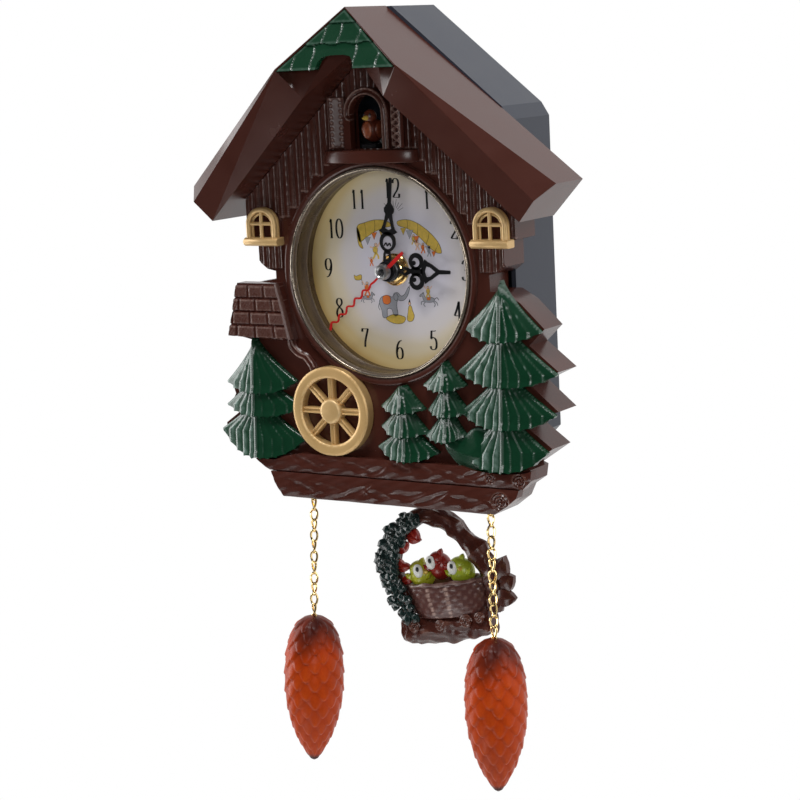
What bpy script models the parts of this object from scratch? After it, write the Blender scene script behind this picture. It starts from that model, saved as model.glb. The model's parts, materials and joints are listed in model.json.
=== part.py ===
"""Pendulum wall clock in the form of a forest chalet, built as an assembly of separate parts.

The frame: the origin is on the flat wall face of the rear housing, in line with the dial's
arbor. X runs to the viewer's right, Y into the wall and Z up. The model is drawn in
millimetres and brought to metres by the last lines.
"""
from math import cos, pi, radians, sin, sqrt

import bmesh
import bpy
from mathutils import Matrix, Vector

# ---------------------------------------------------------------- driving dimensions, mm
GAP = 0.3                    # clearance between pieces that touch
SKIN = 2.4                   # wall of a moulded shell

HOUSING_DEPTH = 39.5         # rear housing, from the wall to its front rim
HOUSING_HALF = 66.0          # half its width
HOUSING_RISE = 1.3           # its gable stands this much above the roof
HOUSING_FLOOR_Z = -86.0
CASE_DEPTH = 18.0            # front case, from its rear rim to its front skin
RELIEF = 7.0                 # how far trees, logs and mill stand out of the front skin

ROOF_APEX_Z = 128.1
ROOF_SLOPE = 0.8125          # fall per unit of width
ROOF_HALF_SPAN = 104.0
ROOF_THICK = 21.0            # roof at the ridge, top to soffit, straight down
EAVE_CUT = 16.0              # the eave's end leans in by this much
EAVE_DROP = 17.0

DIAL_R = 49.5                # visible dial
DIAL_PLATE = 1.5
BEZEL_WIDTH = 2.4
COLLAR_WIDTH = 3.6

WALL_HALF = 77.5             # house wall at the window bays
NECK_HALF = 62.0
LOG_LEFT = -76.0             # ends of the upper log
LOG_RIGHT = 82.0
FOOT_HALF = 62.0             # underside of the lower log
FOOT_Z = -115.0
LOG_JOINT_Z = -102.0

MINUTE_TIP_ROOM = 3.5          # from a hand's tip to the edge of the dial
HOUR_TIP_ROOM = 14.5
SECOND_TIP_ROOM = 4.5
SECOND_TAIL = 15.0
HOUR_ANGLE = 90.5            # clockwise from twelve, degrees
MINUTE_ANGLE = 6.0
SECOND_ANGLE = 230.0

MOVEMENT_HALF = 28.0         # square movement case
MOVEMENT_DEPTH = 18.0
GEAR_MODULE = 0.5
CANNON_TEETH = 10
MINUTE_WHEEL_TEETH = 30
MINUTE_PINION_TEETH = 8
HOUR_WHEEL_TEETH = 32
SECOND_PIN_R = 0.6
CANNON_R = 1.5               # minute arbor, outside
HOUR_PIPE_R = 2.6            # hour pipe, outside
RUNNING = 0.15               # clearance of one arbor in another

CELL_R = 7.1                 # AA cells
CELL_LENGTH = 50.0

PENDULUM_PIVOT_Z = -92.0
PENDULUM_BEHIND = 11.0       # centre plane of the pendulum, behind the dial's face
PENDULUM_LEAN = 10.0         # stored part way through a swing, degrees

CHAIN_X = 52.3
CHAIN_LENGTH = 63.0
CHAIN_R = 1.5
CHAIN_BEHIND = -7.0          # chains hang this far from the dial's face
LEFT_LEAN = 3.9              # the hanging chains' lean at rest, degrees
RIGHT_LEAN = 1.0
CONE_LENGTH = 79.0
CONE_R = 15.0

DOORWAY_HALF = 9.0           # cuckoo's doorway
DOORWAY_SILL_Z = 60.5
DOORWAY_SPRING_Z = 77.5      # where its arch begins
BALCONY_HALF = 27.0
WHEEL_R = 22.6               # water wheel
WHEEL_X = -30.0
WHEEL_Z = -69.5
WINDOW_X = 66.0
WINDOW_HALF = 9.2

# ---------------------------------------------------------------- planes that follow
HOUSING_FRONT = -HOUSING_DEPTH
CASE_BACK = HOUSING_FRONT - GAP
CASE_FRONT = CASE_BACK - CASE_DEPTH
DIAL_FACE = CASE_BACK - 3.0
RELIEF_BACK = CASE_FRONT - GAP
RELIEF_FRONT = RELIEF_BACK - RELIEF
ROOF_BACK = HOUSING_FRONT - GAP
BEZEL_R = DIAL_R + BEZEL_WIDTH
MINUTE_HAND_LENGTH = DIAL_R - MINUTE_TIP_ROOM
HOUR_HAND_LENGTH = DIAL_R - HOUR_TIP_ROOM
SECOND_HAND_LENGTH = DIAL_R - SECOND_TIP_ROOM
COLLAR_HOLE = BEZEL_R + GAP
COLLAR_R = COLLAR_HOLE + COLLAR_WIDTH
MOVEMENT_FRONT = DIAL_FACE + DIAL_PLATE + GAP
MOVEMENT_BACK = MOVEMENT_FRONT + MOVEMENT_DEPTH
ARBOR_DISTANCE = GEAR_MODULE * (CANNON_TEETH + MINUTE_WHEEL_TEETH) / 2
SOFFIT_APEX_Z = ROOF_APEX_Z - ROOF_THICK
SOFFIT_HALF = ROOF_HALF_SPAN - EAVE_CUT
SOFFIT_Z = ROOF_APEX_Z - ROOF_SLOPE * ROOF_HALF_SPAN - EAVE_DROP
SOFFIT_SLOPE = (SOFFIT_APEX_Z - SOFFIT_Z) / SOFFIT_HALF
CHAIN_Y = DIAL_FACE + CHAIN_BEHIND
CHAIN_TOP_Z = FOOT_Z - 3.2
PENDULUM_Y = DIAL_FACE + PENDULUM_BEHIND


def soffit_z(x):
    return SOFFIT_APEX_Z - SOFFIT_SLOPE * abs(x)


# ---------------------------------------------------------------- finishes
FINISHES = {
    "brown": ((0.070, 0.022, 0.016), 0.28, 0.0),
    "dark_brown": ((0.035, 0.014, 0.010), 0.35, 0.0),
    "green": ((0.010, 0.050, 0.020), 0.35, 0.0),
    "gold_paint": ((0.56, 0.36, 0.15), 0.45, 0.4),
    "bronze": ((0.16, 0.12, 0.08), 0.30, 0.9),
    "paper": ((0.72, 0.66, 0.55), 0.6, 0.0),
    "black": ((0.006, 0.006, 0.006), 0.35, 0.0),
    "red": ((0.55, 0.02, 0.02), 0.4, 0.0),
    "brass": ((0.80, 0.55, 0.20), 0.25, 1.0),
    "steel": ((0.55, 0.55, 0.56), 0.3, 1.0),
    "slate": ((0.040, 0.045, 0.055), 0.4, 0.0),
    "circuit": ((0.02, 0.16, 0.06), 0.5, 0.0),
    "cell": ((0.10, 0.10, 0.12), 0.35, 0.3),
    "cone": ((0.50, 0.10, 0.015), 0.45, 0.0),
    "bird": ((0.20, 0.045, 0.030), 0.4, 0.0),
    "yellow": ((0.55, 0.48, 0.03), 0.45, 0.0),
    "bark": ((0.080, 0.020, 0.014), 0.35, 0.0),
    "leaf": ((0.012, 0.030, 0.028), 0.35, 0.0),
    "gear": ((0.75, 0.75, 0.70), 0.5, 0.0),
}


def finish_of(name):
    """The material of that name, made the first time that it is asked for."""
    if name in bpy.data.materials:
        return bpy.data.materials[name]
    colour, rough, metal = FINISHES[name]
    made = bpy.data.materials.new(name)
    made.use_nodes = True
    shader = made.node_tree.nodes["Principled BSDF"]
    shader.inputs["Base Color"].default_value = (*colour, 1.0)
    shader.inputs["Roughness"].default_value = rough
    shader.inputs["Metallic"].default_value = metal
    return made


# ---------------------------------------------------------------- modelling helpers
def piece_from(name, bm, finish):
    """An object from a closed bmesh, with its faces turned outwards."""
    bmesh.ops.recalc_face_normals(bm, faces=bm.faces)
    mesh = bpy.data.meshes.new(name)
    bm.to_mesh(mesh)
    bm.free()
    piece = bpy.data.objects.new(name, mesh)
    bpy.context.scene.collection.objects.link(piece)
    mesh.materials.append(finish_of(finish))
    return piece


def prism(name, outline, y_front, y_back, finish="brown", axis="Y"):
    """An outline in the XZ plane, extruded along Y, or one in the XY plane, along Z."""
    bm = bmesh.new()
    if axis == "Y":
        ring = [bm.verts.new((x, y_front, z)) for x, z in outline]
        push = Vector((0, y_back - y_front, 0))
    else:
        ring = [bm.verts.new((x, y, y_front)) for x, y in outline]
        push = Vector((0, 0, y_back - y_front))
    face = bm.faces.new(ring)
    grown = bmesh.ops.extrude_face_region(bm, geom=[face])["geom"]
    moved = [part for part in grown if isinstance(part, bmesh.types.BMVert)]
    bmesh.ops.translate(bm, vec=push, verts=moved)
    if face.is_valid and not any(len(e.link_faces) == 2 for e in face.edges):
        bm.faces.remove(face)
    return piece_from(name, bm, finish)


def box(name, x, y, z, finish="brown"):
    """A block from three pairs of limits."""
    outline = [(x[0], z[0]), (x[1], z[0]), (x[1], z[1]), (x[0], z[1])]
    return prism(name, outline, y[0], y[1], finish)


def turned(name, profile, finish, centre=(0, 0, 0), axis="Y", steps=32):
    """A closed profile of (radius, height) points, turned about an axis.

    Points of radius nought lie on the axis. Height runs along +Y, +Z or +X.
    """
    bm = bmesh.new()
    rings = []
    for radius, height in profile:
        count = steps if radius > 0 else 1
        ring = []
        for k in range(count):
            turn = 2 * pi * k / steps
            a, b = radius * cos(turn), radius * sin(turn)
            local = {"Y": (a, height, b), "Z": (a, b, height), "X": (height, a, b)}[axis]
            ring.append(bm.verts.new(Vector(local) + Vector(centre)))
        rings.append(ring)
    for ring, after in zip(rings, rings[1:] + rings[:1]):
        for k in range(steps):
            corners = [ring[k % len(ring)], ring[(k + 1) % len(ring)],
                       after[(k + 1) % len(after)], after[k % len(after)]]
            unique = list(dict.fromkeys(corners))
            if len(unique) > 2:
                bm.faces.new(unique)
    return piece_from(name, bm, finish)


def rod(name, start, end, radius, finish, steps=12):
    """A straight round bar between two points."""
    start, end = Vector(start), Vector(end)
    made = turned(name, [(0, 0), (radius, 0), (radius, 1), (0, 1)], finish, axis="Z", steps=steps)
    run = end - start
    turn = run.to_track_quat("Z", "Y").to_matrix().to_4x4()
    stretch = Matrix.Diagonal((1, 1, run.length, 1))
    made.data.transform(Matrix.Translation(start) @ turn @ stretch)
    return made


def swept(name, path, radii, finish, sides=8):
    """A bar of changing radius along a path that lies in a plane of constant Y."""
    bm = bmesh.new()
    rings = []
    for k, point in enumerate(path):
        before = Vector(path[max(k - 1, 0)])
        after = Vector(path[min(k + 1, len(path) - 1)])
        along = (after - before).normalized()
        side = Vector((0, 1, 0))
        up = along.cross(side).normalized()
        ring = []
        for j in range(sides):
            turn = 2 * pi * j / sides
            offset = (side * cos(turn) + up * sin(turn)) * radii[k]
            ring.append(bm.verts.new(Vector(point) + offset))
        rings.append(ring)
    for ring, after in zip(rings, rings[1:]):
        for j in range(sides):
            bm.faces.new((ring[j], ring[(j + 1) % sides], after[(j + 1) % sides], after[j]))
    bm.faces.new(rings[0])
    bm.faces.new(rings[-1])
    return piece_from(name, bm, finish)


def ball(name, centre, radii, finish, steps=12, rows=7):
    """An egg or ball with three radii."""
    profile = [(sin(pi * k / rows), -cos(pi * k / rows)) for k in range(rows + 1)]
    profile[0] = (0, -1)
    profile[-1] = (0, 1)
    made = turned(name, profile, finish, axis="Z", steps=steps)
    made.data.transform(Matrix.Translation(centre) @ Matrix.Diagonal((*radii, 1)))
    return made


def boolean(piece, others, operation):
    """Adds, cuts or keeps the common part, and uses the other pieces up."""
    for other in others:
        other.hide_render = True
        other.display_type = "WIRE"
        step = piece.modifiers.new("shape", "BOOLEAN")
        step.operation = operation
        step.object = other
        step.solver = "EXACT"
    bpy.context.view_layer.update()
    seen = piece.evaluated_get(bpy.context.evaluated_depsgraph_get())
    shaped = bpy.data.meshes.new_from_object(seen)
    piece.modifiers.clear()
    piece.data = shaped
    for other in others:
        bpy.data.objects.remove(other)
    return piece


def cut(piece, *cutters):
    return boolean(piece, cutters, "DIFFERENCE")


def joined(piece, *others):
    return boolean(piece, others, "UNION")


def drum(radius, y_front, y_back, x=0.0, z=0.0, steps=64):
    """A plain round cutter along Y."""
    return turned("drum", [(0, y_front), (radius, y_front), (radius, y_back), (0, y_back)],
                  "brown", (x, 0, z), steps=steps)


def inset(outline, distance):
    """A copy of a counter-clockwise outline with every side moved inwards."""
    count = len(outline)
    moved = []
    for k in range(count):
        a = Vector(outline[k - 1])
        b = Vector(outline[k])
        c = Vector(outline[(k + 1) % count])
        first, second = (b - a).normalized(), (c - b).normalized()
        n1, n2 = Vector((-first.y, first.x)), Vector((-second.y, second.x))
        slide = (n1 + n2) / (1 + n1.dot(n2))
        moved.append(tuple(b + slide * distance))
    return moved


def spun(pieces, degrees, pivot):
    """Turns pieces about Y through a pivot, in place. Positive turns +X up towards +Z."""
    turn = (Matrix.Translation(pivot) @ Matrix.Rotation(-radians(degrees), 4, "Y")
            @ Matrix.Translation(-Vector(pivot)))
    for piece in pieces:
        piece.data.transform(turn)


def hang(pieces, pivot, name):
    """Puts the pieces' origins on their joint's axis, under one empty."""
    holder = bpy.data.objects.new(name, None)
    bpy.context.scene.collection.objects.link(holder)
    holder.location = pivot
    for piece in pieces:
        piece.data.transform(Matrix.Translation(-Vector(pivot)))
        piece.parent = holder


# ---------------------------------------------------------------- front case
def core_outline():
    """The case's own outline without the tree tips, counter-clockwise from the foot's left."""
    right = [(FOOT_HALF, FOOT_Z), (LOG_RIGHT - 12, LOG_JOINT_Z - 7), (LOG_RIGHT - 9, LOG_JOINT_Z - 1),
             (LOG_RIGHT - 3, LOG_JOINT_Z + 3), (LOG_RIGHT - 2, LOG_JOINT_Z + 9), (WALL_HALF, -80),
             (WALL_HALF - 2, -30), (NECK_HALF, -14), (NECK_HALF, 0), (NECK_HALF + 5, 1), (NECK_HALF + 9, 4), (NECK_HALF + 9, 15.5),
             (WALL_HALF, 17), (WALL_HALF, soffit_z(WALL_HALF) - GAP)]
    left = [(-WALL_HALF, soffit_z(WALL_HALF) - GAP), (-WALL_HALF, 17), (-NECK_HALF - 9, 15.5),
            (-NECK_HALF - 9, 4), (-NECK_HALF - 5, 1), (-NECK_HALF, 0), (-NECK_HALF, -4),
            (-WALL_HALF - 3, -7), (-WALL_HALF - 9, -34), (-WALL_HALF - 7, -92),
            (LOG_LEFT - 1, LOG_JOINT_Z + 3), (-FOOT_HALF - 7, LOG_JOINT_Z), (-FOOT_HALF, FOOT_Z)]
    return right + [(0, SOFFIT_APEX_Z - GAP)] + left


def doorway_outline(grow=0.0):
    """The cuckoo's arched doorway."""
    half = DOORWAY_HALF + grow
    arch = [(half * cos(pi * k / 10), DOORWAY_SPRING_Z + half * sin(pi * k / 10))
            for k in range(11)]
    return [(-half, DOORWAY_SILL_Z), (half, DOORWAY_SILL_Z)] + arch


TIP_LEVELS = [(-25, 90.5), (-45, 97.2), (-64, 96.3), (-82, 92.4)]


def right_tips():
    """Brown backing of the big fir: four pointed tiers that stand past the case's side."""
    points = [(WALL_HALF - 8, -92)]
    for (z, x), inner in zip(reversed(TIP_LEVELS), (78, 82, 82, 76)):
        points += [(x, z), (inner, z + 12)]
    return points + [(WALL_HALF - 8, -8)]


def left_tips():
    """Brown backing of the left fir."""
    return [(-77, -36), (-89, -51), (-94, -58), (-92, -64), (-95, -69), (-91, -74),
            (-99, -79.5), (-99, -83), (-94, -83), (-91, -89), (-85, -94), (-74, -94)]


def front_case():
    outline = core_outline()
    case = prism("front_case", outline, CASE_FRONT, CASE_BACK)
    case = joined(case, prism("tips", right_tips(), CASE_FRONT + 0.5, CASE_BACK),
                  prism("tips", left_tips(), CASE_FRONT + 0.5, CASE_BACK),
                  drum(COLLAR_R, CASE_FRONT - 1.5, CASE_FRONT + 5))
    pocket = prism("pocket", inset(outline, SKIN), CASE_FRONT + SKIN, CASE_BACK + 5)
    pocket = cut(pocket, drum(COLLAR_HOLE + SKIN, CASE_FRONT, CASE_BACK + 6))
    case = joined(case, prism("surround", doorway_outline(3.6), CASE_FRONT - 6.0, CASE_FRONT + 1))
    case = cut(case, pocket, drum(COLLAR_HOLE, CASE_FRONT - 9, CASE_BACK + 9),
               prism("doorway", doorway_outline(), CASE_FRONT - 9, CASE_FRONT + 9))
    return case


def edge_stations(depth):
    """Points of the roof's front edge, right half, with the shell's walls moved in by depth.

    Each station is (top, brow, chin): the upper front edge, the ridge along the fascia, and
    the lower inner edge, each as x, y, z.
    """
    ridge_y, corner_y, eave_y = DIAL_FACE - 33.0, DIAL_FACE - 45.0, DIAL_FACE - 23.3
    corner_x = 34.0
    drop = depth * sqrt(1 + ROOF_SLOPE ** 2)
    rise = depth * sqrt(1 + SOFFIT_SLOPE ** 2)

    def top(x, y):
        return Vector((x, y + depth, ROOF_APEX_Z - drop - ROOF_SLOPE * x))

    def chin(x, y):
        return Vector((x, y + depth, SOFFIT_APEX_Z + rise - SOFFIT_SLOPE * x))

    end_x = ROOF_HALF_SPAN - depth * 1.4
    return [
        (top(0, ridge_y), top(0, ridge_y) + Vector((0, 0, -0.4)), chin(0, ridge_y + 6)),
        (top(corner_x, corner_y), top(corner_x - 0.4, corner_y) + Vector((0, 0, -0.6)),
         chin(corner_x - 11, corner_y + 6)),
        (top(end_x, eave_y),
         Vector((end_x - 0.42 * EAVE_CUT, DIAL_FACE - 33.0 + depth, top(end_x, 0).z - 0.42 * EAVE_DROP)),
         chin(SOFFIT_HALF - depth * 0.6, DIAL_FACE - 30.6)),
    ]


def roof_form(name, depth, back):
    """Both slopes of the roof as one closed form, each wall moved in by depth."""
    bm = bmesh.new()
    stations = edge_stations(depth)
    left = [tuple(Vector((-p.x, p.y, p.z)) for p in station) for station in stations[:0:-1]]
    rings = []
    for top, brow, chin in left + stations:
        rear_chin, rear_top = chin.copy(), top.copy()
        rear_chin.y = back
        rear_top.y = back
        rings.append([bm.verts.new(p) for p in (top, brow, chin, rear_chin, rear_top)])
    for ring, after in zip(rings, rings[1:]):
        for j in range(5):
            bm.faces.new((ring[j], ring[(j + 1) % 5], after[(j + 1) % 5], after[j]))
    bm.faces.new(rings[0])
    bm.faces.new(rings[-1])
    return piece_from(name, bm, "brown")


def tile_seat(grow):
    """The triangular half-hip at the gable's peak, as a block that leans outwards."""
    bm = bmesh.new()
    ridge_y, low_y = DIAL_FACE - 33.0 - grow, DIAL_FACE - 45.0 - grow
    half, low_z = 33.0 + 3 * grow, 99.5 - grow
    front = [bm.verts.new(p) for p in ((-half, low_y, low_z), (half, low_y, low_z),
                                       (0, ridge_y, ROOF_APEX_Z - 1.2 + grow))]
    rear = [bm.verts.new(v.co + Vector((0, 5.0 + 2 * grow, 0))) for v in front]
    bm.faces.new(front)
    bm.faces.new(rear[::-1])
    for k in range(3):
        bm.faces.new((front[k], front[(k + 1) % 3], rear[(k + 1) % 3], rear[k]))
    return bm


def roof():
    shell = roof_form("roof", 0.0, ROOF_BACK)
    hollow = roof_form("hollow", SKIN, ROOF_BACK + 6)
    seat = piece_from("seat", tile_seat(GAP), "brown")
    liner = piece_from("liner", tile_seat(SKIN), "brown")
    hollow = cut(hollow, liner)
    return cut(shell, hollow, seat)


def gable_tiles():
    tiles = piece_from("gable_tiles", tile_seat(0.0), "green")
    arch = prism("arch", [(-9, 95), (9, 95), (7, 104.5), (-7, 104.5)],
                 DIAL_FACE - 60, DIAL_FACE - 20)
    return cut(tiles, arch)


# ---------------------------------------------------------------- dial and hands
def ring_part(name, inner, outer, y_front, y_back, finish, steps=64, x=0.0, z=0.0):
    profile = [(inner, y_front), (outer, y_front), (outer, y_back), (inner, y_back)]
    return turned(name, profile, finish, (x, 0, z), steps=steps)


def dial_bezel():
    front, back = CASE_FRONT - 2.4, DIAL_FACE - GAP
    profile = [(DIAL_R + 0.2, back), (DIAL_R, back - 2), (DIAL_R + 0.4, front + 1.0),
               (DIAL_R + 1.0, front), (BEZEL_R - 0.6, front), (BEZEL_R, front + 0.8),
               (BEZEL_R, back)]
    return turned("dial_bezel", profile, "bronze", steps=64)


def blade(name, outline, angle, y_front, y_back, hub_r, bore, finish):
    """A flat hand: an outline that points to twelve, its hub and its bore, then turned."""
    hand = prism(name, outline, y_front, y_back, finish)
    hand = joined(hand, drum(hub_r, y_front, y_back, steps=24))
    if bore:
        hand = cut(hand, drum(bore, y_front - 1, y_back + 1, steps=24))
    hand.data.transform(Matrix.Rotation(radians(angle), 4, "Y"))
    return hand


def both_sides(right):
    """A closed outline from its right side, listed from the tail to the tip."""
    return right + [(-x, z) for x, z in reversed(right) if x > 0]


def hands():
    hour = [(1.1, 3), (1.1, 11), (4.8, 13), (5.2, 15.5), (4.8, 18), (1.4, 19), (4.4, 22.5),
            (1.6, 27), (0.9, 30), (0, 35)]
    minute = [(1.1, 3), (1.3, 9.5), (4.7, 12), (4.9, 14.5), (4.3, 17), (1.6, 19), (5.2, 21),
              (1.2, 28.5), (2.4, 31), (0.9, 33.5), (0, 46)]
    hour = [(x, z * HOUR_HAND_LENGTH / 35) for x, z in hour]
    minute = [(x, z * MINUTE_HAND_LENGTH / 46) for x, z in minute]
    turns = 5
    points = []
    for k in range(26):
        z = 6 + (SECOND_HAND_LENGTH - 12) * k / 25
        points.append((1.3 * sin(2 * pi * turns * k / 25), z))
    second = ([(x + 0.55, z) for x, z in points] + [(0.1, SECOND_HAND_LENGTH)]
              + [(x - 0.55, z) for x, z in reversed(points)]
              + [(-0.8, -SECOND_TAIL), (0.8, -SECOND_TAIL)])
    plane = DIAL_FACE - 5.5
    made = [
        blade("hour_hand", both_sides(hour), HOUR_ANGLE, plane - 0.6, plane, 5.5,
              CANNON_R + RUNNING, "black"),
        blade("minute_hand", both_sides(minute), MINUTE_ANGLE, plane - 3.1, plane - 2.5, 5.0,
              SECOND_PIN_R + RUNNING, "black"),
        blade("second_hand", second, SECOND_ANGLE, plane - 5.6, plane - 5.0, 3.0, 0, "red"),
    ]
    return made


def gear(name, teeth, y_front, y_back, bore, finish="gear", x=0.0, z=0.0, phase=0.0):
    """A spur wheel whose teeth are thinned, so that it runs free in its mate."""
    pitch_r = GEAR_MODULE * teeth / 2
    outer, root = pitch_r + 0.75 * GEAR_MODULE, pitch_r - 1.0 * GEAR_MODULE
    step = 2 * pi / teeth
    outline = []
    for k in range(teeth):
        middle = step * k + phase
        for share, radius in ((-0.30, root), (-0.10, outer), (0.10, outer), (0.30, root)):
            turn = middle + share * step
            outline.append((radius * sin(turn), radius * cos(turn)))
    wheel = prism(name, outline, y_front, y_back, finish)
    if bore:
        wheel = cut(wheel, drum(bore, y_front - 1, y_back + 1, steps=24))
    wheel.data.transform(Matrix.Translation((x, 0, z)))
    return wheel


def motion_work():
    """Arbors and the 12 to 1 train between the minute arbor and the hour pipe."""
    inside = MOVEMENT_FRONT + 1.6 + GAP
    low, high = (inside, inside + 2.2), (inside + 2.6, inside + 4.8)
    back = MOVEMENT_BACK - 1.6 - GAP
    plane = DIAL_FACE - 5.5
    idler_z = -ARBOR_DISTANCE

    hour_pipe = ring_part("hour_pipe", CANNON_R + RUNNING, HOUR_PIPE_R, plane + 0.01,
                          inside + 0.01, "brass", 24)
    hour_wheel = gear("hour_wheel", HOUR_WHEEL_TEETH, low[0], low[1], CANNON_R + RUNNING)
    hour_wheel = joined(hour_wheel, hour_pipe)
    cannon = gear("minute_arbor", CANNON_TEETH, high[0], high[1], 0, "brass",
                  phase=pi / CANNON_TEETH)
    sleeve = drum(CANNON_R, plane - 2.49, high[0] + 1, steps=24)
    cannon = joined(cannon, sleeve)
    cannon = cut(cannon, drum(SECOND_PIN_R + RUNNING, plane - 9, back, steps=24))
    pin = turned("second_arbor", [(0, plane - 4.99), (SECOND_PIN_R, plane - 4.99),
                                  (SECOND_PIN_R, back - 4), (3.0, back - 4), (3.0, back - 3),
                                  (0, back - 3)], "steel", steps=20)
    idler = gear("minute_wheel", MINUTE_WHEEL_TEETH, high[0], high[1], 0, z=idler_z)
    pinion = gear("pinion", MINUTE_PINION_TEETH, low[0], low[1] + 0.6, 0, z=idler_z,
                  phase=pi / MINUTE_PINION_TEETH)
    idler = joined(idler, pinion)
    knob_back = -0.6
    knob = turned("set_knob", [(0, high[1] + GAP), (1.2, high[1] + GAP), (1.2, knob_back - 4),
                               (4.6, knob_back - 4), (5.0, knob_back - 3.5),
                               (5.0, knob_back), (0, knob_back)],
                  "black", (0, 0, idler_z), steps=24)
    return hour_wheel, cannon, pin, idler, knob


def cuff_nut():
    profile = [(HOUR_PIPE_R + GAP, DIAL_FACE - 4.0), (5.0, DIAL_FACE - 4.0),
               (8.0, DIAL_FACE - 1.4), (8.0, DIAL_FACE - GAP), (HOUR_PIPE_R + GAP, DIAL_FACE - GAP)]
    return turned("cuff_nut", profile, "brass", steps=24)


def movement():
    """The sealed quartz movement: a tray on the dial's back and its rear cover."""
    half, wall = MOVEMENT_HALF, 1.6
    split = MOVEMENT_FRONT + MOVEMENT_DEPTH * 0.55
    tray = box("movement_case", (-half, half), (MOVEMENT_FRONT, split), (-half, half), "black")
    room = box("room", (-half + wall, half - wall), (MOVEMENT_FRONT + wall, split + 3),
               (-half + wall, half - wall))
    tray = cut(tray, room, drum(HOUR_PIPE_R + GAP, MOVEMENT_FRONT - 2, MOVEMENT_FRONT + 4, steps=24))
    cover = box("movement_cover", (-half, half), (split + GAP, MOVEMENT_BACK), (-half, half), "black")
    room = box("room", (-half + wall, half - wall), (split - 3, MOVEMENT_BACK - wall),
               (-half + wall, half - wall))
    cover = cut(cover, room, drum(1.2 + GAP, split, MOVEMENT_BACK + 4, z=-ARBOR_DISTANCE, steps=24))
    coil = turned("stepper_coil", [(0, -9), (4.2, -9), (4.2, 9), (0, 9)], "brass",
                  (0, MOVEMENT_FRONT + 7.5, half - 8.5), "X", 16)
    return tray, cover, coil


# ---------------------------------------------------------------- rear housing
def housing_outline():
    peak_z = ROOF_APEX_Z + HOUSING_RISE
    shoulder_z = peak_z - ROOF_SLOPE * HOUSING_HALF
    edge = HOUSING_HALF
    return [(-edge + 4, HOUSING_FLOOR_Z), (edge - 4, HOUSING_FLOOR_Z),
            (edge, HOUSING_FLOOR_Z + 4), (edge, shoulder_z - 4), (edge - 4, shoulder_z + 2.5),
            (3, peak_z - 1.5), (-3, peak_z - 1.5),
            (-edge + 4, shoulder_z + 2.5), (-edge, shoulder_z - 4), (-edge, HOUSING_FLOOR_Z + 4)]


DOOR_X = (-52.0, 8.0)
DOOR_Z = (-66.0, -32.0)
DOOR_TRAVEL = 14.0


def rear_housing():
    outline = housing_outline()
    shell = prism("rear_housing", outline, HOUSING_FRONT, 0.0, "slate")
    hollow = prism("hollow", inset(outline, SKIN), HOUSING_FRONT - 2, -SKIN - 1.4)
    bay = box("bay", (DOOR_X[0] + 3, DOOR_X[1] - 3), (-SKIN - 6, 2), (DOOR_Z[0] + 3, DOOR_Z[1] - 3))
    track = box("track", (DOOR_X[0] - GAP, DOOR_X[1] + GAP), (-1.6, 2),
                (DOOR_Z[0] - DOOR_TRAVEL - GAP, DOOR_Z[1] + GAP))
    keyhole = joined(drum(4.5, -9, 3, z=84, steps=24),
                     box("slot", (-2.2, 2.2), (-9, 3), (84, 96)))
    knob_hole = drum(5.8, -9, 3, z=-ARBOR_DISTANCE, steps=32)
    lever_slot = box("slot", (-5, 5), (PENDULUM_Y - 3.0, PENDULUM_Y + 5.5),
                     (HOUSING_FLOOR_Z - 3, HOUSING_FLOOR_Z + 4))
    switch_slot = box("slot", (24, 38), (-9, 3), (-52, -46))
    return cut(shell, hollow, bay, track, keyhole, knob_hole, lever_slot, switch_slot)


def battery_tray():
    """An open box behind the battery door, with two cells side by side."""
    x, z = DOOR_X, DOOR_Z
    y = (-SKIN - 1.4 - GAP - 17.5, -SKIN - 1.4 - GAP)
    tray = box("battery_tray", (x[0] - 1, x[1] + 1), y, (z[0] - 1, z[1] + 1), "black")
    room = box("room", (x[0] + 2, x[1] - 2), (y[0] + 1.6, y[1] + 3), (z[0] + 1, z[1] - 1))
    tray = cut(tray, room)
    middle = (z[0] + z[1]) / 2
    left = (x[0] + x[1]) / 2 - CELL_LENGTH / 2
    cells = []
    for name, shift in (("battery_upper", 1), ("battery_lower", -1)):
        profile = [(0, 0), (CELL_R, 0), (CELL_R, CELL_LENGTH - 2), (2.6, CELL_LENGTH - 2),
                   (2.6, CELL_LENGTH), (0, CELL_LENGTH)]
        centre = (left, y[0] + 1.6 + GAP + CELL_R, middle + shift * (CELL_R + GAP))
        cells.append(turned(name, profile, "cell", centre, "X", 24))
    return [tray] + cells


def battery_door():
    door = box("battery_door", DOOR_X, (-1.5, -0.3), DOOR_Z, "slate")
    ribs = [box("rib", (-30, -14), (-0.4, -0.05), (DOOR_Z[0] + 5 + 3 * k, DOOR_Z[0] + 6.2 + 3 * k))
            for k in range(3)]
    return joined(door, *ribs)


def electronics():
    board = box("circuit_board", (19, 56), (-30, -28.4), (-78, -38), "circuit")
    speaker = turned("speaker", [(0, -34), (19, -34), (20, -32.5), (20, -30), (11, -27),
                                 (11, -21), (0, -21)], "steel", (-30, 0, 58), steps=32)
    switch = box("sound_switch", (26, 29), (-5.5, -0.8), (-51.5, -46.5), "black")
    drive = box("pendulum_drive", (-16, 16), (PENDULUM_Y - 7, PENDULUM_Y + 7),
                (HOUSING_FLOOR_Z + SKIN + GAP, -60), "black")
    tongue = box("tongue", (-3, 3), (PENDULUM_Y + 2.2, PENDULUM_Y + 4.4),
                 (PENDULUM_PIVOT_Z - 3, HOUSING_FLOOR_Z + 6))
    pin = turned("pin", [(0, -2.2), (0.9, -2.2), (0.9, 3), (0, 3)], "black",
                 (0, PENDULUM_Y, PENDULUM_PIVOT_Z), steps=16)
    return board, speaker, switch, joined(drive, tongue, pin)


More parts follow.
